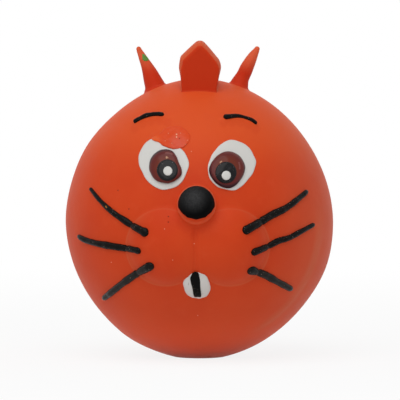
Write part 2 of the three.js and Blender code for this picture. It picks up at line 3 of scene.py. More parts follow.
import bmesh
import bpy
import numpy as np
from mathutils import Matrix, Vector


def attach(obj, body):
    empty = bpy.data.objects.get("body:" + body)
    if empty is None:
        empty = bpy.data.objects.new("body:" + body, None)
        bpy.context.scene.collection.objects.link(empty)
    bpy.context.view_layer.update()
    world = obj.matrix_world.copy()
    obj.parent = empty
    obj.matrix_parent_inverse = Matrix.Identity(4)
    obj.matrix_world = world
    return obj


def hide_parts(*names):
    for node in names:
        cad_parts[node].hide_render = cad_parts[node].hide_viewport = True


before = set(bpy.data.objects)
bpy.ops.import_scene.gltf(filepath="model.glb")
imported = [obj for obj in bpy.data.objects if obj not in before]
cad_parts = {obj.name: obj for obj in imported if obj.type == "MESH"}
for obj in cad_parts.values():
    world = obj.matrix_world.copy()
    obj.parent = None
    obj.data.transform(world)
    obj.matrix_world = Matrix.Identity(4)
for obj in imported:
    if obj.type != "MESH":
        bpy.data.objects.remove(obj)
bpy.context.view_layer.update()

mm = 0.001
seed = 11  # every random draw starts from this


def addObject(name, data):
    made = bpy.data.objects.new(name, data)
    bpy.context.scene.collection.objects.link(made)
    return made


def aim(made, location, target):
    # puts a camera or a light in its place and turns it towards another
    made.location = location
    made.rotation_euler = (Vector(target) - made.location).to_track_quat("-Z", "Y").to_euler()


print("camera")

shot = {
    "distance": 1200.0,  # mm from the middle of the ball
    "above": 3.0,  # degrees over the ball's middle
    "toRight": 1.15,  # degrees to the right of the face
    "lens": 384.5,
    "ballMiddle": 38.48,
    "aimRight": 0.197,  # the ball sits a little off the middle of the picture
    "aimUp": 5.52,
    "farthest": 10000.0,
}


def makeCamera():
    above = math.radians(shot["above"])
    turn = math.radians(shot["toRight"])
    back = Vector((math.cos(above) * math.sin(turn), -math.cos(above) * math.cos(turn), math.sin(above)))
    right = Vector((math.cos(turn), math.sin(turn), 0))
    up = back.cross(right)
    middle = Vector((0, 0, shot["ballMiddle"])) * mm
    target = middle + right * shot["aimRight"] * mm + up * shot["aimUp"] * mm
    data = bpy.data.cameras.new("camera")
    data.lens = shot["lens"]
    data.clip_end = shot["farthest"] * mm
    camera = addObject("camera", data)
    aim(camera, middle + back * shot["distance"] * mm, target)
    bpy.context.scene.camera = camera


makeCamera()

# Head forms, in mm from the ball's widest level: x to the right, y away from the face, z up

ball = {
    "width": 75.0,
    "crown": 39.8,
    "belly": 39.2,
    "crownCurve": 1.87,
    "bellyCurve": 1.92,
    "foot": 7.0,
    "footEdge": 0.7,
    "wall": 2.4,
    "waver": 0.12,  # hand-poured latex is never quite round
    "waverLength": 7.5,
    "waverFades": (-34.0, -24.0),  # downwards, as the foot stays true
    "bulges": [(36, -13, 0.5), (-31, 21, 0.5), (-17, -34, 0.35)],  # across, level and how high
    "bulgeWide": 9.0,
    "bulgeFades": (-37.0, -32.0),
    "innerCurve": 1.95,
    "netFrom": -29.0,  # the fine mesh starts at this level, turned rings run below it
    "fineStep": 0.42,
    "coarseStep": 1.2,
}
cheek = {
    "middles": [(-8.8, -5.7), (9.2, -5.7)],
    "rim": 10.8,
    "proud": 3.0,
    "crease": 0.4,
    "meeting": 3.6,
    "grooveAt": -0.25,  # the fine line where the cheeks meet
    "grooveDeep": 0.36,
    "grooveWide": 0.75,
}
toothPad = {"level": -16.0, "rim": 4.1, "proud": 1.4, "crease": 0.7}
nose = {"level": 6.15, "width": 10.4, "height": 10.8, "depth": 10.4, "proud": 6.0, "crease": 1.1}

# Mould line on the lower right, in shares of the ball's half width
seam = {
    "shares": [
        (0.919, 0.022), (0.882, -0.18), (0.827, -0.366), (0.772, -0.448), (0.642, -0.624),
        (0.532, -0.716), (0.384, -0.796),
    ],
    "high": 0.2,
    "wide": 0.55,
    "reach": 33.6,  # it runs at this distance from the ball's middle, seen from the front
}
browRidge = {
    "high": 0.3,
    "wide": 0.8,
    "paths": [
        [(-17.8, 27.4), (-15.4, 28.7), (-13.4, 29.5), (-11.3, 29.9), (-9.0, 29.7), (-7.4, 29.0)],
        [(6.2, 28.6), (7.2, 29.1), (10.8, 29.3), (13.2, 28.9), (15.0, 28.0), (16.6, 26.8)],
    ],
}

half = ball["width"] / 2


def radiusAt(level):
    height, curve = (ball["crown"], ball["crownCurve"]) if level > 0 else (ball["belly"], ball["bellyCurve"])
    return half * max(1 - (abs(level) / height) ** curve, 0) ** (1 / curve)


def levelAt(radius, height, curve):
    return height * (1 - (radius / half) ** curve) ** (1 / curve)


footLevel = -levelAt(ball["foot"], ball["belly"], ball["bellyCurve"])
headLift = -footLevel


def ballPoint(x, level):
    return np.array([x, -math.sqrt(max(radiusAt(level) ** 2 - x * x, 0)), level])


def outwardAt(x, level, step=0.6):
    across = ballPoint(x + step, level) - ballPoint(x - step, level)
    up = ballPoint(x, level + step) - ballPoint(x, level - step)
    out = np.cross(across, up)
    return out / np.linalg.norm(out)


def lobeOnBall(x, level, rim, proud):
    cap = proud + half - math.sqrt(half * half - rim * rim)
    radius = (rim * rim + cap * cap) / (2 * cap)
    return ballPoint(x, level) + outwardAt(x, level) * (proud - radius), radius


cheekLobes = [lobeOnBall(*middle, cheek["rim"], cheek["proud"]) for middle in cheek["middles"]]
padLobe = lobeOnBall(0, toothPad["level"], toothPad["rim"], toothPad["proud"])
noseMiddle = ballPoint(0, nose["level"]) + np.array([0, nose["depth"] / 2 - nose["proud"], 0])
noseRadii = np.array([nose["width"], nose["depth"], nose["height"]]) / 2
ridges = [(seam, np.array([ballPoint(x * half, z * half) for x, z in seam["shares"]]))]
ridges += [(browRidge, np.array([ballPoint(x, z) for x, z in path])) for path in browRidge["paths"]]


def ramp(values, low, high):
    return np.clip((values - low) / (high - low), 0, 1)


def smoothMin(a, b, blend):
    near = np.clip(blend - np.abs(a - b), 0, None) / blend
    return np.minimum(a, b) - near * near * blend / 4


def smoothMax(a, b, blend):
    return -smoothMin(-a, -b, blend)


def wave(p, length, turn=0.0):
    x, y, z = (p[:, i] / length for i in range(3))
    return (np.sin(x + 1.3 + turn) * np.sin(z * 0.9 + 0.4) + np.sin(y * 1.15 + x * 0.6 + 2 * turn)) / 2


def plainBall(p):
    across = np.hypot(p[:, 0], p[:, 1]) / half
    upper = p[:, 2] > 0
    height = np.where(upper, ball["crown"], ball["belly"])
    curve = np.where(upper, ball["crownCurve"], ball["bellyCurve"])
    size = (across ** curve + (np.abs(p[:, 2]) / height) ** curve) ** (1 / curve)
    return np.linalg.norm(p, axis=1) * (1 - 1 / np.maximum(size, 1e-6))


def distanceToPath(p, path):
    best = np.full(len(p), 1e9)
    along = np.zeros(len(p))
    for i in range(len(path) - 1):
        run = path[i + 1] - path[i]
        share = np.clip((p - path[i]) @ run / (run @ run), 0, 1)
        away = np.linalg.norm(p - path[i] - share[:, None] * run, axis=1)
        closer = away < best
        best[closer] = away[closer]
        along[closer] = (i + share[closer]) / (len(path) - 1)
    return best, along


def ridgeAlong(p, size, path, fade=0.2):
    # how much a low ridge along a path adds to the skin
    raised = np.zeros(len(p))
    reach = size["wide"] * 4
    near = ((p > path.min(0) - reach) & (p < path.max(0) + reach)).all(1)
    if near.any():
        away, along = distanceToPath(p[near], path)
        ends = np.clip(np.minimum(along, 1 - along) / fade, 0, 1)
        raised[near] = size["high"] * ends * np.exp(-((away / size["wide"]) ** 2))
    return raised


def ballField(p):
    field = plainBall(p) - ball["waver"] * wave(p, ball["waverLength"]) * ramp(p[:, 2], *ball["waverFades"])
    for x, z, high in ball["bulges"]:
        away = ((p[:, 0] - x) ** 2 + (p[:, 2] - z) ** 2) / ball["bulgeWide"] ** 2
        field -= high * np.exp(-away) * ramp(p[:, 2], *ball["bulgeFades"])
    for size, path in ridges:
        field -= ridgeAlong(p, size, path)
    return field


def cheekField(p):
    left, right = (np.linalg.norm(p - middle, axis=1) - radius for middle, radius in cheekLobes)
    groove = cheek["grooveDeep"] * np.exp(-((p[:, 0] - cheek["grooveAt"]) / cheek["grooveWide"]) ** 2)
    return smoothMin(left, right, cheek["meeting"]) + groove


def padField(p):
    return np.linalg.norm(p - padLobe[0], axis=1) - padLobe[1]


def noseField(p):
    q = (p - noseMiddle) / noseRadii
    size = np.linalg.norm(q, axis=1)
    slope = np.linalg.norm(q / noseRadii, axis=1)
    return size * (size - 1) / np.maximum(slope, 1e-6)


def headField(p):
    field = smoothMin(ballField(p), cheekField(p), cheek["crease"])
    field = smoothMin(field, padField(p), toothPad["crease"])
    return smoothMin(field, noseField(p), nose["crease"])


def slopeOf(field, points, step=0.02):
    slope = np.empty_like(points)
    for i in range(3):
        move = np.zeros(3)
        move[i] = step
        slope[:, i] = (field(points + move) - field(points - move)) / (2 * step)
    return slope


def settle(field, points, rounds=3):
    for _ in range(rounds):
        slope = slopeOf(field, points)
        size = np.maximum((slope * slope).sum(1), 0.05)
        points = points - slope * (field(points) / size)[:, None]
    return points


def outwardOf(field, points):
    slope = slopeOf(field, points)
    return slope / np.linalg.norm(slope, axis=1)[:, None]


def faceSurface(across, up, start=-62.0, rounds=70, stride=0.8):
    # places on the front of the head, and the move that lifts a coat 1 mm off each
    points = np.stack([across, np.full_like(across, start), up], 1)
    for _ in range(rounds):
        points[:, 1] += headField(points) * stride
    lift = np.zeros_like(points)
    lift[:, 1] = -1 / np.clip(-outwardOf(headField, points)[:, 1], 0.5, 1)
    return points, lift


# Meshes


def surfaceNet(field, axes, rounds=4, pull=0.6):
    # a closed quad mesh of the place where a field is zero, on a grid that may be uneven
    grid = np.stack(np.meshgrid(*axes, indexing="ij"), -1)
    shape = grid.shape[:3]
    values = field(grid.reshape(-1, 3)).reshape(shape)
    inside = values < 0
    cells = tuple(n - 1 for n in shape)
    total = np.zeros(cells + (3,))
    hits = np.zeros(cells)
    crossings = []
    for axis in range(3):
        low = [slice(None)] * 3
        high = [slice(None)] * 3
        low[axis], high[axis] = slice(None, -1), slice(1, None)
        low, high = tuple(low), tuple(high)
        crossed = inside[low] != inside[high]
        where = np.argwhere(crossed)
        a, b = values[low][crossed], values[high][crossed]
        point = grid[low][crossed] + (grid[high][crossed] - grid[low][crossed]) * (a / (a - b))[:, None]
        u, v = (axis + 1) % 3, (axis + 2) % 3
        around = []
        for du, dv in ((-1, -1), (0, -1), (0, 0), (-1, 0)):
            cell = where.copy()
            cell[:, u] += du
            cell[:, v] += dv
            kept = ((cell >= 0) & (cell < np.array(cells))).all(1)
            np.add.at(total, tuple(cell[kept].T), point[kept])
            np.add.at(hits, tuple(cell[kept].T), 1)
            around.append((cell, kept))
        crossings.append((around, inside[low][crossed]))
    found = hits > 0
    number = np.full(cells, -1)
    number[found] = np.arange(found.sum())
    points = total[found] / hits[found][:, None]
    faces = []
    for around, outwards in crossings:
        whole = np.logical_and.reduce([kept for _, kept in around])
        quads = np.stack([number[tuple(cell[whole].T)] for cell, _ in around], 1)
        turn = outwards[whole]
        faces.append(quads[turn])
        faces.append(quads[~turn][:, ::-1])
    faces = np.concatenate(faces)
    points = settle(field, points)
    edges = np.concatenate([faces[:, [i, (i + 1) % 4]] for i in range(4)])
    for _ in range(rounds):
        drawn = np.zeros_like(points)
        count = np.zeros(len(points))
        np.add.at(drawn, edges[:, 0], points[edges[:, 1]])
        np.add.at(drawn, edges[:, 1], points[edges[:, 0]])
        np.add.at(count, edges.ravel(), 1)
        points = settle(field, points * (1 - pull) + drawn / count[:, None] * pull, 2)
    return points, faces


def evenSteps(low, high, step):
    return np.linspace(low, high, max(int(round((high - low) / step)), 1) + 1)


def joinSteps(*runs):
    return np.unique(np.round(np.concatenate([evenSteps(*run) for run in runs]), 6))


def fullTurn(sides):
    return np.linspace(0, 2 * math.pi, sides, endpoint=False)


def makeMesh(name, points, faces, lift=0):
    mesh = bpy.data.meshes.new(name)
    places = (np.asarray(points, float) + (0, 0, lift)) * mm
    mesh.from_pydata(places.tolist(), [], [list(map(int, face)) for face in faces])
    return mesh


def makePiece(name, points, faces, finish, node, lift=headLift, sharp=None):
    mesh = makeMesh(name, points, faces, lift)
    mesh.validate()
    mesh.shade_smooth()
    if sharp:
        mesh.set_sharp_from_angle(angle=math.radians(sharp))
    mesh.materials.append(finish)
    piece = addObject(name, mesh)
    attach(piece, "toy")
    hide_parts(node)
    return piece


def tubeFaces(rows, count):
    # quads between rings of points, and a fan at each end round one of the two points that come last
    faces = []
    for row in range(rows - 1):
        for i in range(count):
            a, b = row * count + i, row * count + (i + 1) % count
            faces.append((a, b, b + count, a + count))
    low, last = rows * count, (rows - 1) * count
    for i in range(count):
        faces.append((low, (i + 1) % count, i))
        faces.append((low + 1, last + i, last + (i + 1) % count))
    return faces


def turned(profile, sides):
    # a body turned about Z from (radius, level) pairs that start and end on the axis
    points = [(r * math.cos(t), r * math.sin(t), z) for r, z in profile[1:-1] for t in fullTurn(sides)]
    points += [(0, 0, profile[0][1]), (0, 0, profile[-1][1])]
    return points, tubeFaces(len(profile) - 2, sides)


def rounded(corners, radius, steps=4, most=0.45):
    # a profile with its inner corners rounded, each over no more than a share of the edges beside it
    made = [corners[0]]
    for before, corner, after in zip(corners, corners[1:], corners[2:]):
        here = np.array(corner, float)
        back, ahead = np.array(before) - here, np.array(after) - here
        cut = min(radius, np.linalg.norm(back) * most, np.linalg.norm(ahead) * most)
        start, end = here + back / np.linalg.norm(back) * cut, here + ahead / np.linalg.norm(ahead) * cut
        for i in range(steps + 1):
            s = i / steps
            made.append(tuple(start * (1 - s) ** 2 + here * 2 * s * (1 - s) + end * s * s))
    made.append(corners[-1])
    return made


# Shader maths


class Wire:  # a shader socket that adds Math nodes when it is used in an expression
    def __init__(self, finish, socket):
        self.finish = finish
        self.socket = socket

    def __add__(self, other):
        return self.finish.maths("ADD", self, other)

    def __sub__(self, other):
        return self.finish.maths("SUBTRACT", self, other)

    def __mul__(self, other):
        return self.finish.maths("MULTIPLY", self, other)

    def __rsub__(self, other):
        return self.finish.maths("SUBTRACT", other, self)

    __radd__ = __add__


class Finish:  # a material, or the world, whose nodes are all made by one method
    def __init__(self, name, world=None):
        self.material = world or bpy.data.materials.new(name)
        self.material.use_nodes = True
        self.tree = self.material.node_tree
        self.tree.nodes.clear()
        objectPlace = self.node("ShaderNodeTexCoord", output="Object")
        self.place = self.node("ShaderNodeVectorMath", {"operation": "SCALE"}, {0: objectPlace, 3: 1000.0})

    def node(self, kind, settings=None, inputs=None, output=0):
        made = self.tree.nodes.new(kind)
        for name, value in (settings or {}).items():
            setattr(made, name, value)
        for name, value in (inputs or {}).items():
            if isinstance(value, Wire):
                self.tree.links.new(value.socket, made.inputs[name])
            else:
                made.inputs[name].default_value = value
        return Wire(self, made.outputs[output]) if len(made.outputs) else None

    def maths(self, operation, first, second=0.0):
        return self.node("ShaderNodeMath", {"operation": operation}, {0: first, 1: second})

    def seen(self):
        # 1 for the rays that show this to the viewer, 0 for those by which it lights the toy
        kinds = ("Is Camera Ray", "Is Glossy Ray", "Is Transmission Ray")
        rays = [self.node("ShaderNodeLightPath", output=kind) for kind in kinds]
        return self.maths("MAXIMUM", self.maths("MAXIMUM", rays[0], rays[1]), rays[2])

    def noise(self, length, detail=2.0, rough=0.5, place=None):
        inputs = {"Vector": place or self.place, "Scale": 1 / length, "Detail": detail, "Roughness": rough}
        return self.node("ShaderNodeTexNoise", None, inputs)

    def smooth(self, value, low, high):
        settings = {"interpolation_type": "SMOOTHSTEP"}
        return self.node("ShaderNodeMapRange", settings, {"Value": value, "From Min": low, "From Max": high})

    def within(self, value, low, high):
        return 1 - self.smooth(value, low, high)

    def mix(self, share, first, second):
        colours = {0: share}
        for name, colour in ((6, first), (7, second)):
            colours[name] = colour if isinstance(colour, Wire) else (*colour, 1)
        return self.node("ShaderNodeMix", {"data_type": "RGBA"}, colours, output=2)

    def part(self, axis):
        return self.node("ShaderNodeSeparateXYZ", None, {0: self.place}, output=axis)

    def stretched(self, times):
        return self.node("ShaderNodeVectorMath", {"operation": "MULTIPLY"}, {0: self.place, 1: times})

    def awayFrom(self, across, level):
        # distance from a place on the face, seen from the front
        ends = {0: self.stretched((1, 0, 1)), 1: (across, 0, level + headLift)}
        return self.node("ShaderNodeVectorMath", {"operation": "DISTANCE"}, ends, output=1)

    def dots(self, places, radius):
        # 1 on each of these places on the front of the head
        total = 0
        for place in places:
            total = total + self.within(self.awayFrom(*place), radius * 0.5, radius * 1.3)
        return total * self.within(self.part(1), -12.0, -10.0)

    def marked(self, colour, height, marks):
        # a colour and a height with small round marks laid over them
        for mark in marks:
            dots = self.dots(mark["places"], mark["radius"])
            colour = self.mix(dots * mark.get("share", 1.0), colour, mark["colour"])
            height = height + dots * mark.get("high", 0.0)
        return colour, height

    def done(self, colour, rough, height, specular=0.5, others=None):
        bump = self.node("ShaderNodeBump", None, {"Strength": 1.0, "Distance": mm, "Height": height})
        inputs = {"Base Color": colour, "Roughness": rough, "Specular IOR Level": specular, "Normal": bump}
        shader = self.node("ShaderNodeBsdfPrincipled", None, {**inputs, **(others or {})})
        self.node("ShaderNodeOutputMaterial", None, {"Surface": shader})
        return self.material


# Finishes

latex = {
    "colour": (0.64, 0.058, 0.010),
    "deeper": (0.60, 0.048, 0.008),
    "patches": 19.0,  # the length over which the colour changes to the deeper one
    "paler": (0.66, 0.075, 0.02),
    "mottle": 4.5,
    "mottleMost": 0.4,
    # painted light: the top of the ball is painted lighter, for the light that falls on it from above
    "upper": (0.69, 0.079, 0.014),
    "upperLitBand": (50.0, 66.0),  # starts and is full here, in mm above the floor
    # painted light: the lowest part of the ball is painted paler, for the light thrown up onto it by the
    # floor
    "foot": (0.84, 0.093, 0.022),
    "footBounceLitBand": (2.0, 16.0),
    "front": (-24.0, -20.0),  # along Y, where what belongs to the face fades out
    "rough": 0.51,
    "unevenRough": 0.1,
    "peel": (3.2, 0.06),  # length and height
    "grain": (0.7, 0.012),
    "soft": {
        "Subsurface Weight": 0.1,
        "Subsurface Radius": (1.0, 0.3, 0.15),
        "Subsurface Scale": 0.002,
        "Sheen Weight": 0.06,
        "Sheen Roughness": 0.4,
        "Sheen Tint": (1.0, 0.7, 0.55, 1.0),
    },
    "specular": 0.12,
    # painted highlight: a paler band of skin round the nose's black paint, where the rim of the knob catches
    # the light
    "noseRimHighlight": (0.80, 0.17, 0.07),
    "noseRimHighlightMost": 0.35,
    "noseRimHighlightBand": (4.2, 4.9, 5.15, 5.5),
    "marks": [
        {  # painted shade: the skin is painted deeper in colour under the brows and beside and under the nose
            "places": [
                (-17.4, 26.3), (-15.2, 27.6), (-12.9, 28.3), (-10.6, 28.6), (-8.3, 28.1),
                (7.2, 28.0), (9.5, 28.2), (11.8, 28.1), (14.0, 27.4), (16.0, 26.2), (-5.5, 2.6), (-4.3, 0.9),
                (-2.8, -0.4), (-0.9, -1.1), (-0.6, -2.3), (1.3, -0.6), (3.1, 0.9), (4.5, 2.6),
            ],
            "radius": 1.3, "share": 0.22, "colour": (0.56, 0.036, 0.006),
        },
        {  # pinholes
            "places": [(-21.73, 9.63), (-18.6, 4.68), (-7.63, 2.92), (-7.63, 1.43), (-2.9, 4.2)],
            "radius": 0.17, "share": 0.8, "colour": (0.12, 0.012, 0.006), "high": -0.15,
        },
        {  # pale specks
            "places": [(-23.64, -10.22), (-8.67, -0.41), (-6.46, -8.89), (0.15, -24.76), (-1.53, 20.42),
                       (-0.6, -4.4)],
            "radius": 0.14, "share": 0.6, "colour": (0.85, 0.5, 0.36),
        },
    ],
}
dustFilmAndSheen = {  # a pale layer on the skin: the powdery coat that natural rubber grows, low on the ball, and painted sheen at its sides, along the mould line and inside the cheeks' rims, with a painted highlight on those rims: how dense it is in each place, and where it fades
    "colour": (0.58, 0.15, 0.07),
    "clouds": 11.0,
    "low": 0.16,
    "lowBand": (4.0, 34.0),
    # painted sheen inside each cheek's rim, and a thin painted highlight along the rim
    "cheek": 0.16,
    "cheekSheenBand": (0.72, 0.97),  # in shares of the cheek's rim, as in the next two
    "rim": 0.14,
    "rimHighlightBand": (0.955, 0.98),
    "rimEnds": (0.985, 1.02),
    "cheekBelow": (-6.0, 3.0),
    "cheekBeside": (10.0, 18.0),
    "cheekFrom": (2.0, 6.0),
    # painted sheen along the mould line
    "seam": 0.28,
    "seamSheenBand": (0.2, 1.5),
    "seamBehind": (-8.0, 0.0),
    "seamRight": (13.0, 20.0),
    "seamBelow": (-7.0, 7.0),
    # painted sheen at the ball's sides, stronger on the right
    "right": 0.22,
    "rightSheenBand": (16.0, 35.0),
    "left": 0.06,
    "leftSheenBand": (-36.0, -27.0),
}
# painted shade and light: the ears are painted deeper red above their roots, where their front faces are
# turned from the light above, and paler at the tips, a painted sheen
earShadeAndLightLatex = {
    "low": (0.58, 0.035, 0.006),
    "lowBand": (72.0, 74.5),
    "tip": (0.70, 0.112, 0.042),
    "litTipBand": (79.0, 84.5),
}
# painted shade and light: the crest's front face is painted deeper red, as it leans forward out of the light
# from above, and its bevels paler, as they face up into it
crestShadedLatex = {"face": (0.56, 0.034, 0.004), "edge": (0.63, 0.088, 0.024), "shadedFaceBand": (-0.75, -0.12)}


def cheekSheenAndHighlight(made, across, level):
    # painted sheen inside the rim of each cheek, at its side and below, where the lobe turns away, and a
    # thin painted highlight on the rim itself
    share = made.maths("DIVIDE", made.awayFrom(across, level), cheek["rim"])
    side = made.part(0) * math.copysign(1, across)
    below = made.within(made.part(2) - (level + headLift), *dustFilmAndSheen["cheekBelow"])
    where = made.maths("MAXIMUM", below, made.smooth(side, *dustFilmAndSheen["cheekBeside"]))
    filmAndSheenShare = made.smooth(share, *dustFilmAndSheen["cheekSheenBand"]) * dustFilmAndSheen["cheek"] * where
    filmAndSheenShare = filmAndSheenShare + made.smooth(share, *dustFilmAndSheen["rimHighlightBand"]) * dustFilmAndSheen["rim"]
    return filmAndSheenShare * made.within(share, *dustFilmAndSheen["rimEnds"]) * made.smooth(side, *dustFilmAndSheen["cheekFrom"])


# painted sheen: a paler band along the mould line on the lower right
def seamSheen(made):
    beside = made.maths("ABSOLUTE", made.awayFrom(0, 0) - seam["reach"])
    filmAndSheenShare = made.within(beside, *dustFilmAndSheen["seamSheenBand"]) * made.within(made.part(1), *dustFilmAndSheen["seamBehind"])
    below = made.within(made.part(2) - headLift, *dustFilmAndSheen["seamBelow"])
    return filmAndSheenShare * below * made.smooth(made.part(0), *dustFilmAndSheen["seamRight"]) * dustFilmAndSheen["seam"]


def latexFinish(name, ear=None, shadedFaceDepth=None):
    made = Finish(name)
    across, level = made.part(0), made.part(2)
    skin = made.mix(made.smooth(made.noise(latex["patches"]), 0.3, 0.7), latex["deeper"], latex["colour"])
    # painted light: the top of the ball is painted lighter
    skin = made.mix(made.smooth(level, *latex["upperLitBand"]), skin, latex["upper"])
    # painted light: paler at the foot
    skin = made.mix(made.within(level, *latex["footBounceLitBand"]), skin, latex["foot"])
    mottle = made.smooth(made.noise(latex["mottle"], 3.0, 0.6), 0.52, 0.85)
    skin = made.mix(mottle * latex["mottleMost"], skin, latex["paler"])
    # painted shade low on the ears, painted sheen at their tips
    if ear:
        skin = made.mix(made.smooth(level, *ear["lowBand"]), skin, ear["low"])
        skin = made.mix(made.smooth(level, *ear["litTipBand"]), skin, ear["tip"])
    # painted shade on the crest's front face, painted light on its bevels
    if shadedFaceDepth:
        share = made.smooth(shadedFaceDepth(made), *crestShadedLatex["shadedFaceBand"])
        skin = made.mix(share, crestShadedLatex["edge"], crestShadedLatex["face"])
    front = made.within(made.part(1), *latex["front"])
    # the powdery layer low on the ball, and painted sheen along the mould line, inside the cheeks and at the
    # sides
    filmAndSheenShare = made.within(level, *dustFilmAndSheen["lowBand"]) * dustFilmAndSheen["low"] + seamSheen(made)
    for middle in cheek["middles"]:
        filmAndSheenShare = filmAndSheenShare + cheekSheenAndHighlight(made, *middle) * front
    filmAndSheenShare = filmAndSheenShare + made.smooth(across, *dustFilmAndSheen["rightSheenBand"]) * dustFilmAndSheen["right"]
    filmAndSheenShare = filmAndSheenShare + made.within(across, *dustFilmAndSheen["leftSheenBand"]) * dustFilmAndSheen["left"]
    filmAndSheenShare = filmAndSheenShare * (made.noise(dustFilmAndSheen["clouds"], 3.0, 0.6) * 0.8 + 0.6)
    skin = made.mix(filmAndSheenShare, skin, dustFilmAndSheen["colour"])
    height = 0
    for length, high in (latex["peel"], latex["grain"]):
        height = height + made.noise(length) * high
    if not ear and not shadedFaceDepth:
        # painted highlight on the rim of the nose knob
        around = made.awayFrom(0, nose["level"])
        rise, full, fall, end = latex["noseRimHighlightBand"]
        ring = made.smooth(around, rise, full) * made.within(around, fall, end) * front
        skin = made.mix(ring * latex["noseRimHighlightMost"], skin, latex["noseRimHighlight"])
        # the marks: painted shade under the brows and the nose, then pinholes and pale specks
        skin, height = made.marked(skin, height, latex["marks"])
    rough = made.noise(6.0) * latex["unevenRough"] + latex["rough"]
    return made.done(skin, rough, height, latex["specular"], latex["soft"])


def paintFinish(name, colour, worn, rough, specular, peel=0.02, specks=None, dustAndHighlight=None, marks=()):
    made = Finish(name)
    wear = made.smooth(made.noise(2.6, 4.0, 0.65), 0.6, 0.85)
    paint = made.mix(wear, colour, worn)
    # greyer paint low on the whiskers, and a painted highlight on the nose
    if dustAndHighlight:
        share, dustAndHighlightColour = dustAndHighlight
        paint = made.mix(share(made), paint, dustAndHighlightColour)
    if specks:
        paint = made.mix(made.smooth(made.noise(0.33, 1.0), 0.71, 0.77), paint, specks)
    paint, height = made.marked(paint, made.noise(1.7, 3.0) * peel, marks)
    return made.done(paint, wear * 0.12 + rough, height, specular)


lacquerIris = {
    "middle": (0.145, 0.024, 0.011),
    "outer": (0.115, 0.015, 0.014),
    "rim": (0.035, 0.008, 0.012),
    "rough": 0.16,
    "specular": 0.145,
    # painted highlights: a curved line and small bright dots in the lacquer's colour, where the light shines
    # on the dome
    "paintedHighlightStreak": {"radius": 0.22, "share": 0.45, "colour": (0.3, 0.12, 0.11)},
    "paintedHighlightSpots": {"radius": 0.17, "share": 0.8, "colour": (0.62, 0.36, 0.22), "high": 0.05},
    "left": {
        "paintedHighlightStreak": [(-8.5, 20.03), (-8.15, 20.05), (-7.8, 20.03), (-7.45, 19.97), (-7.1, 19.88),
                   (-6.8, 19.75)],
        "paintedHighlightSpots": [(-8.38, 18.9), (-8.2, 19), (-8.3, 18.65), (-7.95, 18.75), (-7.67, 17.97), (-7.62, 17.75)],
    },
    "right": {
        "paintedHighlightStreak": [(11.5, 17.4), (11.62, 17.0), (11.7, 16.6), (11.72, 16.2), (11.7, 15.8)],
        "paintedHighlightSpots": [(6.4, 17.5), (6.55, 17.67), (6.75, 17.8)],
    },
}


def irisFinish(side, middle, radius):
    made = Finish("iris_lacquer_" + side)
    share = made.maths("DIVIDE", made.awayFrom(*middle), radius)
    lacquer = made.mix(made.smooth(share, 0.45, 0.85), lacquerIris["middle"], lacquerIris["outer"])
    lacquer = made.mix(made.smooth(made.noise(1.8, 3.0), 0.4, 0.75) * 0.5, lacquer, lacquerIris["middle"])
    lacquer = made.mix(made.smooth(share, 0.88, 1.02), lacquer, lacquerIris["rim"])
    # the painted highlights
    marks = [{**lacquerIris[kind], "places": places} for kind, places in lacquerIris[side].items()]
    lacquer, height = made.marked(lacquer, made.noise(2.4) * 0.008, marks)
    return made.done(lacquer, lacquerIris["rough"], height, lacquerIris["specular"])


drip = {
    "colour": (0.67, 0.062, 0.010),
    "cloudy": (0.68, 0.075, 0.02),
    "pink": (0.66, 0.10, 0.058),
    "pinkAt": (-5.3, 22.5),
    "tail": (0.78, 0.12, 0.02),
    "tailAt": (-11.6, 23.5),
    "lumps": (1.1, 0.1),  # length and height
    "rough": 0.3,
    "specular": 0.1,
    "marks": [
        {  # faint bubbles, their pale colour a painted highlight
            "places": [(-7.94, 25.22), (-8.73, 23.23), (-6.9, 22.6), (-2.62, 23.41), (-3.1, 22.31),
                       (-4.6, 25.3)],
            "radius": 0.16, "share": 0.4, "colour": (0.85, 0.42, 0.25), "high": 0.08,
        },
        {  # clear bubbles, their pale colour a painted highlight
            "places": [(-5.67, 24.97), (-5.66, 24.27)],
            "radius": 0.2, "share": 0.75, "colour": (0.95, 0.62, 0.4), "high": 0.08,
        },
        {"places": [(-4.85, 23.88)], "radius": 0.2, "share": 0.8, "colour": (0.3, 0.03, 0.01), "high": -0.1},
    ],
}


def dripFinish():
    made = Finish("smear_latex")
    colour = made.mix(made.smooth(made.noise(1.6, 3.0, 0.6), 0.4, 0.7), drip["colour"], drip["cloudy"])
    pink = made.within(made.awayFrom(*drip["pinkAt"]), 0.6, 3.4)
    colour = made.mix(pink * (made.noise(0.9, 3.0) * 0.9 + 0.25), colour, drip["pink"])
    tail = made.within(made.awayFrom(*drip["tailAt"]), 0.5, 2.2)
    colour = made.mix(tail * 0.6, colour, drip["tail"])
    length, high = drip["lumps"]
    colour, height = made.marked(colour, made.noise(length, 3.0) * high, drip["marks"])
    return made.done(colour, drip["rough"], height, drip["specular"])


def metalFinish(name):
    made = Finish(name)
    lines = made.noise(1.0, 3.0, 0.6, made.stretched((6, 6, 0.4)))
    colour = made.mix(lines, (0.62, 0.40, 0.17), (0.48, 0.29, 0.11))
    return made.done(colour, lines * 0.2 + 0.22, lines * 0.01, others={"Metallic": 1.0})


def waddingFinish(name):
    made = Finish(name)
    fibres = made.noise(1.1, 5.0, 0.75, made.stretched((1, 1, 3.5)))
    colour = made.mix(fibres, (0.86, 0.85, 0.82), (0.74, 0.72, 0.68))
    return made.done(colour, 0.95, fibres * 0.5 + made.noise(5.0, 3.0) * 0.8, others={"Sheen Weight": 0.5})


def whiskerDust(made):
    return made.within(made.part(2), 23.0, 30.0)


# painted highlight: a speckled grey patch on the upper middle of the nose's black paint, where the light
# from above shines on it
def noseHighlight(made):
    return made.within(made.awayFrom(-0.6, 8.2), 0.4, 5.0) * (made.noise(0.5) * 1.1 + 0.35)


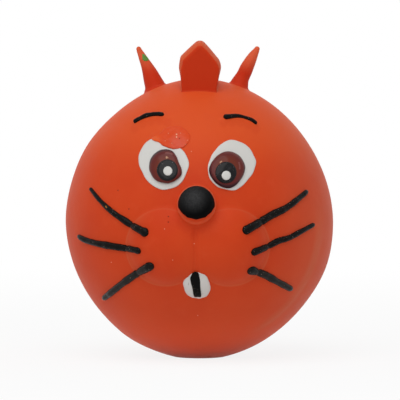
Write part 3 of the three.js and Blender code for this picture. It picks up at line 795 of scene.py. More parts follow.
paints = {
    "black_paint": {
        "colour": (0.004, 0.0035, 0.003), "worn": (0.016, 0.014, 0.012), "rough": 0.26, "specular": 0.07,
        "peel": 0.05, "specks": (0.24, 0.2, 0.17), "dustAndHighlight": (whiskerDust, (0.02, 0.0185, 0.0165)),
        "marks": [
            {"places": [(-25.1, 5.2), (-24.9, 4.95)], "radius": 0.2, "colour": (0.32, 0.14, 0.03)},
        ],
    },
    "tooth_black": {
        "colour": (0.003, 0.003, 0.0025), "worn": (0.01, 0.009, 0.008), "rough": 0.3, "specular": 0.05,
        "peel": 0.05, "specks": (0.2, 0.18, 0.15),
    },
    "nose_black": {
        "colour": (0.001, 0.001, 0.0012), "worn": (0.003, 0.003, 0.003), "rough": 0.4, "specular": 0.03,
        # painted highlight on the nose
        "dustAndHighlight": (noseHighlight, (0.036, 0.036, 0.037)),
    },
    "white_paint": {
        "colour": (0.63, 0.62, 0.59), "worn": (0.58, 0.565, 0.53), "rough": 0.42, "specular": 0.3,
        "marks": [
            {"places": [(-2.25, -15.8), (-2.2, -15.4)], "radius": 0.12, "colour": (0.3, 0.27, 0.22)},
        ],
    },
    "pupil_lacquer": {
        "colour": (0.006, 0.006, 0.007), "worn": (0.03, 0.03, 0.034), "rough": 0.16, "specular": 0.15,
        "peel": 0.03, "specks": (0.2, 0.19, 0.2),
    },
    "green_paint": {"colour": (0.1, 0.25, 0.035), "worn": (0.16, 0.2, 0.03), "rough": 0.45, "specular": 0.3},
    "squeaker_plastic": {
        "colour": (0.78, 0.76, 0.7), "worn": (0.72, 0.7, 0.63), "rough": 0.4, "specular": 0.5, "peel": 0.01,
    },
}

print("finishes")

latexSkin = latexFinish("latex_skin")
latexEarsPaintedLight = latexFinish("latex_ears_painted_light", earShadeAndLightLatex)
finishes = {name: paintFinish(name, **settings) for name, settings in paints.items()}
smearLatex = dripFinish()
reedBronze = metalFinish("reed_bronze")
wadding = waddingFinish("wadding")

print("ball skin")

mouth = {
    "collarRadius": 9.5,
    "collarHeight": 4.4,
    "collarRise": 0.6,
    "innerTo": 30.0,  # the level up to which the inside has the wall's thickness
    "radius": 5.1,
    "recessRadius": 6.3,
    "recessDepth": 1.5,
    "lip": 0.25,
}


def makeSkin():
    fine, coarse, netFrom = ball["fineStep"], ball["coarseStep"], ball["netFrom"]
    axes = [  # fine where the face is
        joinSteps((-39, -21, coarse), (-21, -1.5, fine), (-1.5, 1.5, fine / 2), (1.5, 21, fine),
                  (21, 39, coarse)),
        joinSteps((-45, -19, fine), (-19, 39, coarse)),
        joinSteps((netFrom - 2, -21, coarse), (-21, 12.5, fine), (12.5, 25.5, coarse), (25.5, 31.5, fine),
                  (31.5, 41, coarse)),
    ]
    points, faces = surfaceNet(headField, axes)
    net = bmesh.new()
    verts = [net.verts.new(p) for p in points]
    for face in faces:
        net.faces.new([verts[i] for i in face])
    bmesh.ops.bisect_plane(
        net, geom=net.verts[:] + net.edges[:] + net.faces[:],
        plane_co=(0, 0, netFrom), plane_no=(0, 0, 1), clear_inner=True,
    )

    def atCut():
        return [vert for vert in net.verts if abs(vert.co.z - netFrom) < 1e-4]

    def turnOf(vert):
        return math.atan2(vert.co.y, vert.co.x)

    bmesh.ops.remove_doubles(net, verts=atCut(), dist=0.12)
    rim = sorted([vert for vert in atCut() if vert.is_boundary], key=turnOf)
    turns = [turnOf(vert) for vert in rim]

    edgeLevel = footLevel + ball["footEdge"]
    outside = [(radiusAt(level), level) for level in np.linspace(netFrom, edgeLevel, 15)[1:]]
    recess, throat, wall = mouth["recessRadius"], mouth["radius"], ball["wall"]
    recessTop = footLevel + mouth["recessDepth"]
    collarTop = footLevel + mouth["collarHeight"]
    inner = [(radiusAt(level) - wall * math.sqrt(1 + (level / ball["belly"]) ** 2), level)
             for level in np.linspace(collarTop + mouth["collarRise"], mouth["innerTo"], 24)]
    crown = [(radius, levelAt(radius * half / (half - wall), ball["crown"] - wall, ball["innerCurve"]))
             for radius in np.linspace(inner[-1][0] * 0.9, 1.5, 12)]
    corners = [outside[-1], (radiusAt(footLevel) + 0.1, footLevel), (recess, footLevel), (recess, recessTop),
               (throat, recessTop), (throat, collarTop), (mouth["collarRadius"], collarTop), inner[0]]
    rows = [rim]
    for radius, level in outside[:-1] + rounded(corners, mouth["lip"]) + inner[1:] + crown:
        rows.append([net.verts.new((radius * math.cos(t), radius * math.sin(t), level)) for t in turns])
    top = net.verts.new((0, 0, ball["crown"] - wall))
    for i in range(len(rim)):
        after = (i + 1) % len(rim)
        for low, high in zip(rows, rows[1:]):
            net.faces.new((low[i], high[i], high[after], low[after]))
        net.faces.new((rows[-1][i], top, rows[-1][after]))
    net.verts.index_update()
    made = np.array([v.co[:] for v in net.verts])
    shapes = [[v.index for v in face.verts] for face in net.faces]
    net.free()

    # the turned rings over the foot follow the same slightly uneven form as the net above them
    band = (made[:, 2] < netFrom - 0.01) & (made[:, 2] > edgeLevel + 0.3)
    outer = band & (np.abs(plainBall(made)) < 0.3)
    made[outer] = settle(ballField, made[outer])
    makePiece("latex_ball", made, shapes, latexSkin, "ball_skin", sharp=50)


makeSkin()

print("crest and ears")

crest = {
    "across": 0.4,
    "forward": 13.2,
    "lean": 9.0,
    "halfWidth": 5.95,
    "height": 13.6,
    "depth": 7.4,
    "root": 4.5,
    "bevelLeft": 1.05,  # across the front face
    "bevelRight": 0.7,
    "bevelDepth": 2.0,
    "bevelFades": (2.0, 7.0),  # towards the foot
    "bevelLeast": 0.25,
    "round": 0.5,
    "corners": 0.75,
    "fillet": 0.35,
    "step": 0.26,
    "box": ((-7.5, -18.5, 33), (8.2, -4, 52.5)),
    "shares": [  # the outline, across and up, from the left foot over the point to the right foot
        (-0.897, 0), (-0.914, 0.22), (-0.995, 0.44), (-0.94, 0.6), (-0.905, 0.655), (-0.545, 0.81),
        (-0.13, 0.975), (0.13, 0.975), (0.405, 0.85), (0.925, 0.57), (1.0, 0.44), (0.895, 0.22), (0.816, 0),
    ],
}
ears = {
    "width": 5.5,
    "height": 11.5,
    "back": 3.0,
    "spread": 12.1,
    "root": 4.0,
    "fillet": 0.8,
    "step": 0.22,
    "tip": 0.5,  # radius
    "boxes": {"left": ((-21, -2, 30), (-7, 8, 51)), "right": ((7, -2, 30), (22, 8, 51))},
    "shares": {  # across (outwards) and up in shares of the height, then the width
        "left": [
            (0.02, 0, 1.15), (0.09, 0.18, 1), (0.165, 0.38, 0.82), (0.235, 0.54, 0.66), (0.315, 0.7, 0.51),
            (0.375, 0.83, 0.4), (0.43, 0.93, 0.3), (0.45, 0.98, 0.2),
        ],
        "right": [
            (-0.11, 0, 1.1), (-0.04, 0.2, 0.88), (0.03, 0.33, 0.78), (0.105, 0.5, 0.77), (0.213, 0.71, 0.64),
            (0.297, 0.86, 0.48), (0.35, 0.94, 0.33), (0.382, 0.98, 0.2),
        ],
    },
}


def outlineField(across, up, corners):
    # signed distance to a closed outline, less than zero inside it
    best = np.full(len(across), 1e9)
    inside = np.zeros(len(across), bool)
    for (x0, z0), (x1, z1) in zip(corners, corners[1:] + corners[:1]):
        run = np.array([x1 - x0, z1 - z0])
        share = np.clip(((across - x0) * run[0] + (up - z0) * run[1]) / (run @ run), 0, 1)
        best = np.minimum(best, np.hypot(across - x0 - share * run[0], up - z0 - share * run[1]))
        if z0 != z1:
            inside ^= ((z0 > up) != (z1 > up)) & (across < (x1 - x0) * (up - z0) / (z1 - z0) + x0)
    return np.where(inside, -best, best)


def crestCorners():
    made = [(x * crest["halfWidth"], z * crest["height"]) for x, z in crest["shares"]]
    made = [(made[0][0], -crest["root"])] + made + [(made[-1][0], -crest["root"])]
    return rounded([made[-1]] + made + [made[0]], crest["corners"], 3)[1:-1]


crestOutline = crestCorners()
crestFoot = levelAt(crest["forward"], ball["crown"], ball["crownCurve"])
crestTurn = math.radians(90 + crest["lean"])


def crestField(p):
    x = p[:, 0] - crest["across"]
    y = p[:, 1] + crest["forward"]
    z = p[:, 2] - crestFoot
    up = y * math.cos(crestTurn) + z * math.sin(crestTurn)
    front = -y * math.sin(crestTurn) + z * math.cos(crestTurn)
    side = outlineField(x, up, crestOutline)
    face = np.abs(front + crest["depth"] / 2) - crest["depth"] / 2
    bevel = crest["bevelRight"] + (crest["bevelLeft"] - crest["bevelRight"]) * ramp(-x, -2, 2)
    bevel = bevel * np.maximum(ramp(up, *crest["bevelFades"]), crest["bevelLeast"])
    slant = (side / bevel + face / crest["bevelDepth"] + 1) / np.hypot(1 / bevel, 1 / crest["bevelDepth"])
    body = smoothMax(side, face, crest["round"])
    return smoothMax(body, slant, crest["round"])


def earField(side):
    sign = -1 if side == "left" else 1
    foot = levelAt(math.hypot(ears["spread"], ears["back"]), ball["crown"], ball["crownCurve"])
    shares = ears["shares"][side]
    stations = np.array([(shares[0][0], -ears["root"] / ears["height"], shares[0][2])] + shares)
    ups = foot + stations[:, 1] * ears["height"]
    levels = np.linspace(ups[0], foot + ears["height"] - ears["tip"], 26)
    blur = np.array([1, 2, 1]) / 4

    def eased(values):
        padded = np.pad(np.interp(levels, ups, values), 1, mode="edge")
        return np.convolve(padded, blur, mode="valid")

    spine = sign * (ears["spread"] + eased(stations[:, 0]) * ears["height"])
    radii = eased(stations[:, 2]) * ears["width"] / 2
    path = np.stack([spine, np.full_like(spine, ears["back"]), levels], 1)
    thick = radii / np.hypot(1, np.gradient(spine, levels))
    thick = np.maximum(thick, ears["tip"])

    def middleAt(level):
        return np.interp(level, levels, spine), np.interp(level, levels, radii)

    def field(p):
        away, along = distanceToPath(p, path)
        return away - np.interp(along, np.linspace(0, 1, len(thick)), thick)

    return field, middleAt


def makeGrowth(name, field, size, box, finish, node, cover=0.03, closed=0.5):
    # a form that grows out of the ball with a small fillet, closed just under the ball's skin
    fillet = size["fillet"]

    def whole(p):
        skin = ballField(p)
        own = field(p)
        outer = smoothMin(skin + cover, own, fillet)
        return np.maximum(np.maximum(outer, -(skin + closed)), own - fillet * 0.6 - 0.2)

    axes = [evenSteps(low, high, size["step"]) for low, high in zip(*box)]
    points, faces = surfaceNet(whole, axes, 3)
    makePiece(name, points, faces, finish, node, sharp=50)


def crestFront(made):
    # how far a place lies behind the crest's front face, as a negative number
    back = (made.part(1) + crest["forward"]) * -math.sin(crestTurn)
    return back + (made.part(2) - crestFoot - headLift) * math.cos(crestTurn)


latexCrestShadedFace = latexFinish("latex_crest_painted_shade", shadedFaceDepth=crestFront)
makeGrowth("crest_block", crestField, crest, crest["box"], latexCrestShadedFace, "crest")
for side, box in ears["boxes"].items():
    makeGrowth("pointed_ear_" + side, earField(side)[0], ears, box, latexEarsPaintedLight, "ear_" + side)

print("paint")

eyes = {
    "coat": 0.3,
    "rim": 0.45,
    "whiteRadius": 6.8,
    "spread": 9.3,
    "level": 16.9,
    "irisSpread": 8.4,
    "irisLevel": 16.0,
    "irisRadius": 4.8,
    "lensRadius": 5.7,
    "lensProud": 1.7,
    "irisRim": 0.9,
    "pupilRadius": 2.9,
    "pupilProud": 0.3,
    "pupilRim": 0.5,
    "glintRadius": 1.25,
    "glintProud": 0.28,
    "glintRim": 0.45,
    "left": {
        "white": [
            (-0.52, 0.98), (-0.87, 0.65), (-1, 0.13), (-0.74, -0.51), (-0.45, -0.81), (-0.07, -0.99),
            (0.34, -0.96), (0.71, -0.76), (0.91, -0.45), (1.05, -0.01), (0.94, 0.35), (0.73, 0.61),
            (0.27, 0.88), (-0.14, 1.02),
        ],
        "iris": [
            (-0.09, 1.04), (0.32, 0.96), (0.56, 0.68), (0.75, 0.28), (0.89, -0.06), (0.87, -0.4),
            (0.52, -0.72), (0.12, -0.87), (-0.35, -0.81), (-0.71, -0.59), (-0.95, -0.19),
            (-0.98, 0.2), (-0.84, 0.61), (-0.49, 0.93),
        ],
        "pupil": (0.08, -0.12),
        "glint": (0.11, -0.16),
    },
    "right": {
        "white": [
            (0.1, 0.96), (0.48, 0.83), (0.75, 0.61), (0.93, 0.3), (0.99, -0.01), (0.79, -0.5),
            (0.34, -0.93), (0.06, -1.02), (-0.52, -0.89), (-0.84, -0.55), (-0.92, -0.04),
            (-0.76, 0.38), (-0.48, 0.74), (-0.19, 0.92),
        ],
        "iris": [
            (0.07, 0.93), (0.47, 0.81), (0.78, 0.55), (0.97, 0.18), (0.98, -0.17), (0.81, -0.58),
            (0.51, -0.95), (0.13, -1.13), (-0.25, -1.1), (-0.62, -0.89), (-0.93, -0.52),
            (-1.06, -0.15), (-1, 0.15), (-0.77, 0.52), (-0.4, 0.82),
        ],
        "pupil": (-0.09, -0.25),
        "glint": (-0.07, -0.41),
    },
}
patch = {
    "sides": 180,
    "sink": 0.06,
    "shake": 0.003,
    "uneven": 0.015,
    "rimSteps": [0, 0.04, 0.15, 0.33, 0.6, 1.0],
    "insideShares": [0.92, 0.84, 0.75, 0.66, 0.57, 0.48, 0.38, 0.28, 0.18, 0.08],
    "underShares": [0.3, 0.65, 0.9, 1.0],
}


def between(a, b, c, d, s):
    # a place on the smooth curve from b to c, which has a before it and d after it
    bend, twist = 2 * a - 5 * b + 4 * c - d, 3 * b - a - 3 * c + d
    return 0.5 * (2 * b + (c - a) * s + bend * s ** 2 + twist * s ** 3)


def smoothLoop(shares, size=1, middle=0, steps=12):
    # a closed curve through places on the face, given in shares of a size
    p = np.array(shares, float) * size + middle
    before, after, later = np.roll(p, 1, 0), np.roll(p, -1, 0), np.roll(p, -2, 0)
    made = [between(before, p, after, later, s) for s in np.linspace(0, 1, steps, endpoint=False)]
    return np.stack(made, 1).reshape(-1, 2)


def makeReach(outline, middle, shake, draw):
    # how far an outline reaches from its middle in each direction, with a brush's small shake
    away = outline - middle
    turns = np.arctan2(away[:, 1], away[:, 0])
    order = np.argsort(turns)
    turns, sizes = turns[order], np.hypot(away[:, 0], away[:, 1])[order]
    orders = np.arange(3, 16)
    sizesOfShake = draw.normal(0, shake * sizes.mean(), len(orders)) / np.sqrt(orders / 3)
    starts = draw.uniform(0, 2 * math.pi, len(orders))

    def reach(turn):
        size = np.interp(turn, turns, sizes, period=2 * math.pi)
        return size + (sizesOfShake * np.sin(np.multiply.outer(turn, orders) + starts)).sum(-1)

    return reach


def meniscus(inside, rim):
    near = np.clip(inside / rim, 0, 1)
    return np.sqrt(1 - (1 - near) ** 2)


class Coat:  # paint within an outline on a surface, and how high it stands
    def __init__(self, outline, middle, thickness, rim, draw, under=None, shake=None):
        self.middle = np.array(middle, float)
        self.reach = makeReach(outline, self.middle, patch["shake"] if shake is None else shake, draw)
        self.thickness = thickness
        self.rim = rim
        self.under = under
        self.turn = draw.uniform(0, 6)

    def own(self, across, up):
        x, z = across - self.middle[0], up - self.middle[1]
        away = np.hypot(x, z)
        inside = self.reach(np.arctan2(z, x)) - away
        thick = self.thickness(across, up) if callable(self.thickness) else self.thickness
        uneven = 1 + patch["uneven"] * np.sin(across * 2.1 + self.turn) * np.sin(up * 1.7 + self.turn)
        return thick * meniscus(inside, self.rim) * uneven

    def below(self, across, up):
        return self.under.top(across, up) if self.under else np.zeros_like(across)

    def top(self, across, up):
        return self.below(across, up) + self.own(across, up)


def makeCoat(name, coat, finish, node, surface=faceSurface):
    turns = fullTurn(patch["sides"])
    reach = coat.reach(turns)
    under = [reach * share for share in patch["underShares"]]
    over = [reach - step * coat.rim for step in patch["rimSteps"]]
    over += [(reach - coat.rim) * share for share in patch["insideShares"]]
    radii = np.concatenate(under + over + [[0, 0]])
    angles = np.concatenate([turns] * len(under + over) + [[0, 0]])
    across = coat.middle[0] + radii * np.cos(angles)
    up = coat.middle[1] + radii * np.sin(angles)
    high = np.arange(len(radii)) >= len(under) * len(turns)
    high[-2] = False  # the middle of the underside
    points, lift = surface(across, up)
    raised = np.where(high, coat.top(across, up), coat.below(across, up) - patch["sink"])
    points = points + lift * raised[:, None]
    makePiece(name, points, tubeFaces(len(under + over), len(turns)), finish, node, sharp=75)


def disc(middle, radius):
    turns = fullTurn(patch["sides"])
    return np.stack([middle[0] + radius * np.cos(turns), middle[1] + radius * np.sin(turns)], 1)


def makeEye(side, draw):
    sign = -1 if side == "left" else 1
    shares = eyes[side]
    whiteMiddle = np.array([sign * eyes["spread"], eyes["level"]])
    irisMiddle = np.array([sign * eyes["irisSpread"], eyes["irisLevel"]])
    whiteOutline = smoothLoop(shares["white"], eyes["whiteRadius"], whiteMiddle)
    irisOutline = smoothLoop(shares["iris"], eyes["irisRadius"], irisMiddle)

    def dome(across, up):
        away = np.hypot(across - irisMiddle[0], up - irisMiddle[1])
        share = np.clip(away / eyes["lensRadius"], 0, 0.95)
        return eyes["lensProud"] * np.sqrt(1 - share ** 2) + away ** 2 / ball["width"] - eyes["coat"]

    def drop(kind, under):
        middle = irisMiddle + np.array(shares[kind]) * eyes["irisRadius"]
        outline = disc(middle, eyes[kind + "Radius"])
        return Coat(outline, middle, eyes[kind + "Proud"], eyes[kind + "Rim"], draw, under)

    white = Coat(whiteOutline, whiteMiddle, eyes["coat"], eyes["rim"], draw)
    iris = Coat(irisOutline, irisMiddle, dome, eyes["irisRim"], draw, white)
    pupil = drop("pupil", iris)
    glint = drop("glint", pupil)
    lacquer = irisFinish(side, irisMiddle, eyes["irisRadius"])
    for name, coat, finish, slot, node in (
        ("painted_white_", white, finishes["white_paint"], "white_paint", "eye_white_"),
        ("lacquer_iris_", iris, lacquer, "iris_lacquer", "iris_"),
        ("lacquer_pupil_", pupil, finishes["pupil_lacquer"], "pupil_lacquer", "pupil_"),
        ("painted_glint_", glint, finishes["white_paint"], "white_paint", "glint_"),
    ):
        makeCoat(name + side, coat, finish, node + side)
    return white


smear = {
    "proud": 0.42,
    "thinning": ((21.0, 26.5), (1.0, 0.28)),  # it runs down, so it is thin at its top
    "lump": 0.15,
    "rim": 0.7,
    "shake": 0.006,
    "middle": (0.42, 1.03),
    "shares": [
        (0.66, 1.506), (0.93, 1.357), (1.08, 1.138), (1.063, 0.938), (0.92, 0.756), (0.737, 0.653),
        (0.491, 0.609), (0.304, 0.622), (0.138, 0.679), (-0.05, 0.768), (-0.196, 0.869),
        (-0.385, 0.925), (-0.515, 1.02), (-0.33, 1.126), (-0.124, 1.247), (0.04, 1.41), (0.326, 1.496),
    ],
}


def makeSmear(white, draw):
    outline = smoothLoop(smear["shares"], eyes["whiteRadius"], white.middle)
    middle = np.array(smear["middle"]) * eyes["whiteRadius"] + white.middle

    def lumpy(across, up):
        lump = np.sin(across * 2.9 + 0.5) * np.sin(up * 3.3) + np.sin(across * 1.7 - up * 2.3)
        return smear["proud"] * np.interp(up, *smear["thinning"]) * (1 + smear["lump"] * lump)

    coat = Coat(outline, middle, lumpy, smear["rim"], draw, white, smear["shake"])
    makeCoat("latex_drip", coat, smearLatex, "latex_smear")


tooth = {
    "radius": 3.8,
    "coat": 0.3,
    "rim": 0.4,
    "shake": 0.007,
    "line": 0.35,
    "lineRim": 0.35,
    "lineMiddle": (-0.15, 0.1),
    "shares": [
        (0.1, 0.95), (0.46, 0.84), (0.72, 0.63), (0.82, 0.38), (0.95, 0.1), (0.98, -0.2), (0.92, -0.5),
        (0.74, -0.78), (0.44, -0.95), (0.05, -1.0), (-0.37, -0.93), (-0.65, -0.76), (-0.83, -0.5),
        (-0.93, -0.2), (-0.99, 0.16), (-0.84, 0.43), (-0.61, 0.64), (-0.39, 0.84), (-0.13, 0.95),
    ],
    "lineShares": [
        (-0.26, 0.94), (0.09, 0.95), (0.2, 0.62), (0.25, 0.3), (0.27, -0.2), (0.31, -0.84), (0.06, -0.89),
        (-0.2, -0.84), (-0.31, -0.25), (-0.41, 0.15), (-0.47, 0.5), (-0.4, 0.7),
    ],
}


def makeTooth(draw):
    middle = np.array([0, toothPad["level"]])
    outline = smoothLoop(tooth["shares"], tooth["radius"], middle)
    lineOutline = smoothLoop(tooth["lineShares"], tooth["radius"], middle)
    white = Coat(outline, middle, tooth["coat"], tooth["rim"], draw, shake=tooth["shake"])
    line = Coat(lineOutline, middle + tooth["lineMiddle"], tooth["line"], tooth["lineRim"], draw, white)
    makeCoat("painted_tooth", white, finishes["white_paint"], "tooth_paint")
    makeCoat("painted_tooth_line", line, finishes["tooth_black"], "tooth_line")


nosePaint = {
    "coat": 0.22,
    "rim": 0.9,
    "reach": 0.953,  # of the knob's radius, so a rim of latex shows round the paint
    "radius": 5.2,
    "shake": 0.0012,
    "lowerShares": [  # the paint's lower edge, from left to right
        (-1.3, 0.1), (-0.97, -0.08), (-0.77, -0.37), (-0.46, -0.61), (0, -0.715),
        (0.48, -0.6), (0.79, -0.34), (0.97, -0.04), (1.3, 0.1),
    ],
}


def noseSurface(across, up):
    size = nosePaint["radius"]
    away = np.hypot(across, up) / size
    turn = np.arctan2(up, across)
    unit = np.stack([np.sin(away) * np.cos(turn), -np.cos(away), np.sin(away) * np.sin(turn)], 1)
    lift = unit / noseRadii
    return noseMiddle + unit * noseRadii, lift / np.linalg.norm(lift, axis=1)[:, None]


def makeNose(draw):
    size, rim, shake = nosePaint["radius"], nosePaint["rim"], nosePaint["shake"]
    lower = np.array(nosePaint["lowerShares"])
    outline = []
    for turn in fullTurn(90):
        x, z = math.cos(turn), math.sin(turn)
        reach = nosePaint["reach"]
        if z < 0.1:
            steps = np.linspace(0.3, 1.2, 901)
            below = steps * z < np.interp(steps * x, lower[:, 0], lower[:, 1])
            if below.any():
                reach = min(reach, steps[np.argmax(below)])
        angle = math.asin(min(reach, 0.99))
        outline.append((angle * size * x, angle * size * z))
    coat = Coat(np.array(outline), (0, 0), nosePaint["coat"], rim, draw, shake=shake)
    makeCoat("painted_nose", coat, finishes["nose_black"], "nose_paint", noseSurface)


fleck = {
    "level": 45.6,
    "turn": 0.45,
    "coat": 0.1,
    "rim": 0.2,
    "outline": [
        (-0.95, -0.55), (-0.6, -0.95), (0.2, -0.95), (0.95, -0.75), (1.2, -0.3), (0.85, 0.35),
        (0.3, 0.95), (-0.1, 0.9), (-0.5, 0.3),
    ],
}


def makeFleck(draw):
    field, middleAt = earField("left")

    def earSurface(across, up):
        x, radius = middleAt(fleck["level"] + up)
        turn = fleck["turn"] + across / radius
        points = [x + np.sin(turn) * radius, ears["back"] - np.cos(turn) * radius, fleck["level"] + up]
        points = settle(field, np.stack(points, 1))
        return points, outwardOf(field, points)

    coat = Coat(smoothLoop(fleck["outline"]), (0, 0), fleck["coat"], fleck["rim"], draw)
    makeCoat("green_fleck", coat, finishes["green_paint"], "ear_paint_fleck", earSurface)


strokes = {
    "sides": 16,
    "step": 0.25,
    "sink": 0.2,
    "brow": {"thick": 1.1, "proud": 0.75},
    "whisker": {"thick": 2.0, "proud": 0.9},
    "ends": [0.0, 0.02, 0.08, 0.2, 0.38, 0.62],  # rings at each end, in shares of its radius
    "unevenWidth": (0.05, 0.9),  # share and length, as in the next three
    "unevenHeight": (0.09, 0.7),
    "pinch": (0.2, 0.35),  # where a stroke crosses a cheek's edge
    "knob": (0.12, 0.7),  # at its thick end
    "brows": {  # shares of the eye white's radius from its middle, and the thickness along the path
        "left": ([(-1.235, 1.62), (-0.91, 1.8), (-0.61, 1.91), (-0.29, 1.96), (0.005, 1.94)],
                 (1.15, 1.25, 1.05)),
        "right": ([(-0.325, 1.845), (-0.077, 1.865), (0.226, 1.88), (0.579, 1.81), (0.844, 1.69),
                   (1.01, 1.56)], (1.45, 0.9, 0.95)),
    },
    "whiskers": {  # shares of the ball's half width from its widest level
        "left_upper": ([(-0.793, 0.263), (-0.735, 0.199), (-0.671, 0.139), (-0.599, 0.084), (-0.538, 0.047),
                        (-0.485, 0.014), (-0.425, -0.016), (-0.35, -0.05)], (0.52, 0.84, 1.12)),
        "left_middle": ([(-0.888, -0.095), (-0.82, -0.122), (-0.724, -0.14), (-0.631, -0.151),
                         (-0.531, -0.162), (-0.477, -0.167), (-0.405, -0.178)], (0.75, 1.03, 0.88)),
        "left_lower": ([(-0.701, -0.56), (-0.625, -0.494), (-0.545, -0.426), (-0.465, -0.366),
                        (-0.403, -0.325), (-0.314, -0.27)], (0.9, 1.0, 1.22)),
        "right_upper": ([(0.806, 0.243), (0.753, 0.201), (0.65, 0.128), (0.548, 0.082), (0.446, 0.024),
                         (0.336, -0.034)], (0.7, 1.08, 1.2)),
        "right_middle": ([(0.857, -0.003), (0.753, -0.052), (0.67, -0.091), (0.589, -0.112),
                          (0.507, -0.151), (0.396, -0.19)], (0.65, 0.88, 1.0)),
        "right_lower": ([(0.694, -0.483), (0.579, -0.411), (0.487, -0.355), (0.372, -0.311)],
                        (0.85, 1.02, 1.18)),
    },
}


def openCurve(places, steps=40):
    p = np.array(places, float)
    p = np.vstack([2 * p[0] - p[1], p, 2 * p[-1] - p[-2]])
    shares = np.linspace(0, 1, steps, endpoint=False)
    made = [between(*p[i - 1:i + 3], s) for i in range(1, len(p) - 2) for s in shares]
    return np.array(made + [p[-2]])


def ripple(along, share, length, draw):
    orders = np.array([1.0, 1.7, 2.9])
    starts = draw.uniform(0, 2 * math.pi, 3)
    sizes = draw.uniform(0.5, 1.0, 3) / orders
    return 1 + share * (sizes * np.sin(np.multiply.outer(along / length, orders) + starts)).sum(-1)


def bell(away, share, length):
    return share * np.exp(-((away / length) ** 2))


def makeStroke(name, places, thickness, size, node, draw):
    curve = openCurve(places)
    runs = np.concatenate([[0], np.cumsum(np.linalg.norm(np.diff(curve, axis=0), axis=1))])
    full = size["thick"] / 2
    ends = (thickness[0] * full, thickness[2] * full)
    body = evenSteps(ends[0], runs[-1] - ends[1], strokes["step"])
    rounding = np.array(strokes["ends"])
    along = np.concatenate([rounding * ends[0], body, runs[-1] - rounding[::-1] * ends[1]])
    across, up = (np.interp(along, runs, curve[:, i]) for i in range(2))
    points, _ = faceSurface(across, up)
    out = outwardOf(headField, points)
    blur = np.hanning(9)[1:-1]
    blur /= blur.sum()
    for i in range(3):
        out[:, i] = np.convolve(np.pad(out[:, i], 3, mode="edge"), blur, mode="valid")
    out /= np.linalg.norm(out, axis=1)[:, None]
    ahead = np.gradient(points, axis=0)
    side = np.cross(out, ahead)
    side /= np.maximum(np.linalg.norm(side, axis=1), 1e-9)[:, None]

    width = np.interp(along / runs[-1], [0, 0.5, 1], thickness) * full
    width = width * ripple(along, *strokes["unevenWidth"], draw)
    onCheek = cheekField(points) < ballField(points)
    for i in np.flatnonzero(onCheek[1:] != onCheek[:-1]):
        width = width * (1 - bell(along - along[i], *strokes["pinch"]))
    for end, reach in ((0, ends[0]), (runs[-1], ends[1])):
        width = width * meniscus(np.abs(along - end), reach)
    high = size["proud"] * (width / full) ** 0.8 * ripple(along, *strokes["unevenHeight"], draw)
    thickEnd = 0 if thickness[0] > thickness[2] else runs[-1]
    width = width * (1 + bell(np.abs(along - thickEnd) - full, *strokes["knob"]))
    count = strokes["sides"]
    rings = []
    for turn in fullTurn(count):
        rise = math.sin(turn)
        tall = high * rise if rise > 0 else strokes["sink"] * rise * np.minimum(width / full, 1)
        rings.append(points + side * (width * math.cos(turn))[:, None] + out * tall[:, None])
    made = np.stack(rings, 1).reshape(-1, 3)
    made = np.vstack([made, made[:count].mean(0), made[-count:].mean(0)])
    faces = [face[::-1] for face in tubeFaces(len(along), count)]
    makePiece(name, made, faces, finishes["black_paint"], node, sharp=80)


def makeFace():
    draw = np.random.default_rng(seed)
    whites = {side: makeEye(side, draw) for side in ("left", "right")}
    makeSmear(whites["left"], draw)
    makeTooth(draw)
    makeNose(draw)
    makeFleck(draw)
    for side, (shares, thickness) in strokes["brows"].items():
        places = np.array(shares) * eyes["whiteRadius"] + whites[side].middle
        makeStroke("painted_brow_" + side, places, thickness, strokes["brow"], "brow_" + side, draw)
    for place, (shares, thickness) in strokes["whiskers"].items():
        places, node = np.array(shares) * half, "whisker_" + place
        makeStroke("painted_" + node, places, thickness, strokes["whisker"], node, draw)


makeFace()

print("squeaker and filling")

squeaker = {
    "flangeRadius": 6.0,
    "flange": 1.2,
    "radius": 4.8,
    "wall": 0.8,
    "height": 14.0,
    "barb": 0.8,
    "barbFrom": 4.7,
    "barbHeight": 1.6,
    "outlet": 0.9,
    "outletBack": 2.1,
    "capGap": 0.3,
    "cap": 1.0,
    "capSkirt": 1.4,
    "capSkirtWall": 0.7,
    "fit": 0.3,
    "slotWidth": 1.0,
    "slotLength": 4.6,
    "slotPitch": 1.9,
    "sides": 96,
    "edge": 0.18,
}
filling = {
    "gap": 0.9,
    "lump": 1.3,
    "lumpBand": (24.0, 30.0),  # away from the ball's middle
    "collarPocket": 10.1,
    "barrelPocket": 6.2,
    "collarTop": 5.0,
    "capTop": 15.9,
}


def cutter(points, faces):
    return addObject("cutter", makeMesh("cutter", points, faces))


def cutOut(piece, tools):
    for tool in tools:
        cut = piece.modifiers.new("cut", "BOOLEAN")
        cut.object = tool
        cut.solver = "EXACT"
    bpy.context.view_layer.update()
    shape = bpy.data.meshes.new_from_object(piece.evaluated_get(bpy.context.evaluated_depsgraph_get()))
    piece.modifiers.clear()
    old = piece.data
    piece.data = shape
    bpy.data.meshes.remove(old)
    for tool in tools:
        bpy.data.objects.remove(tool)
    shape.shade_smooth()
    shape.set_sharp_from_angle(angle=math.radians(35))


def makePlastic(name, corners, node):
    points, faces = turned(rounded(corners, squeaker["edge"]), squeaker["sides"])
    return makePiece(name, points, faces, finishes["squeaker_plastic"], node, lift=0)


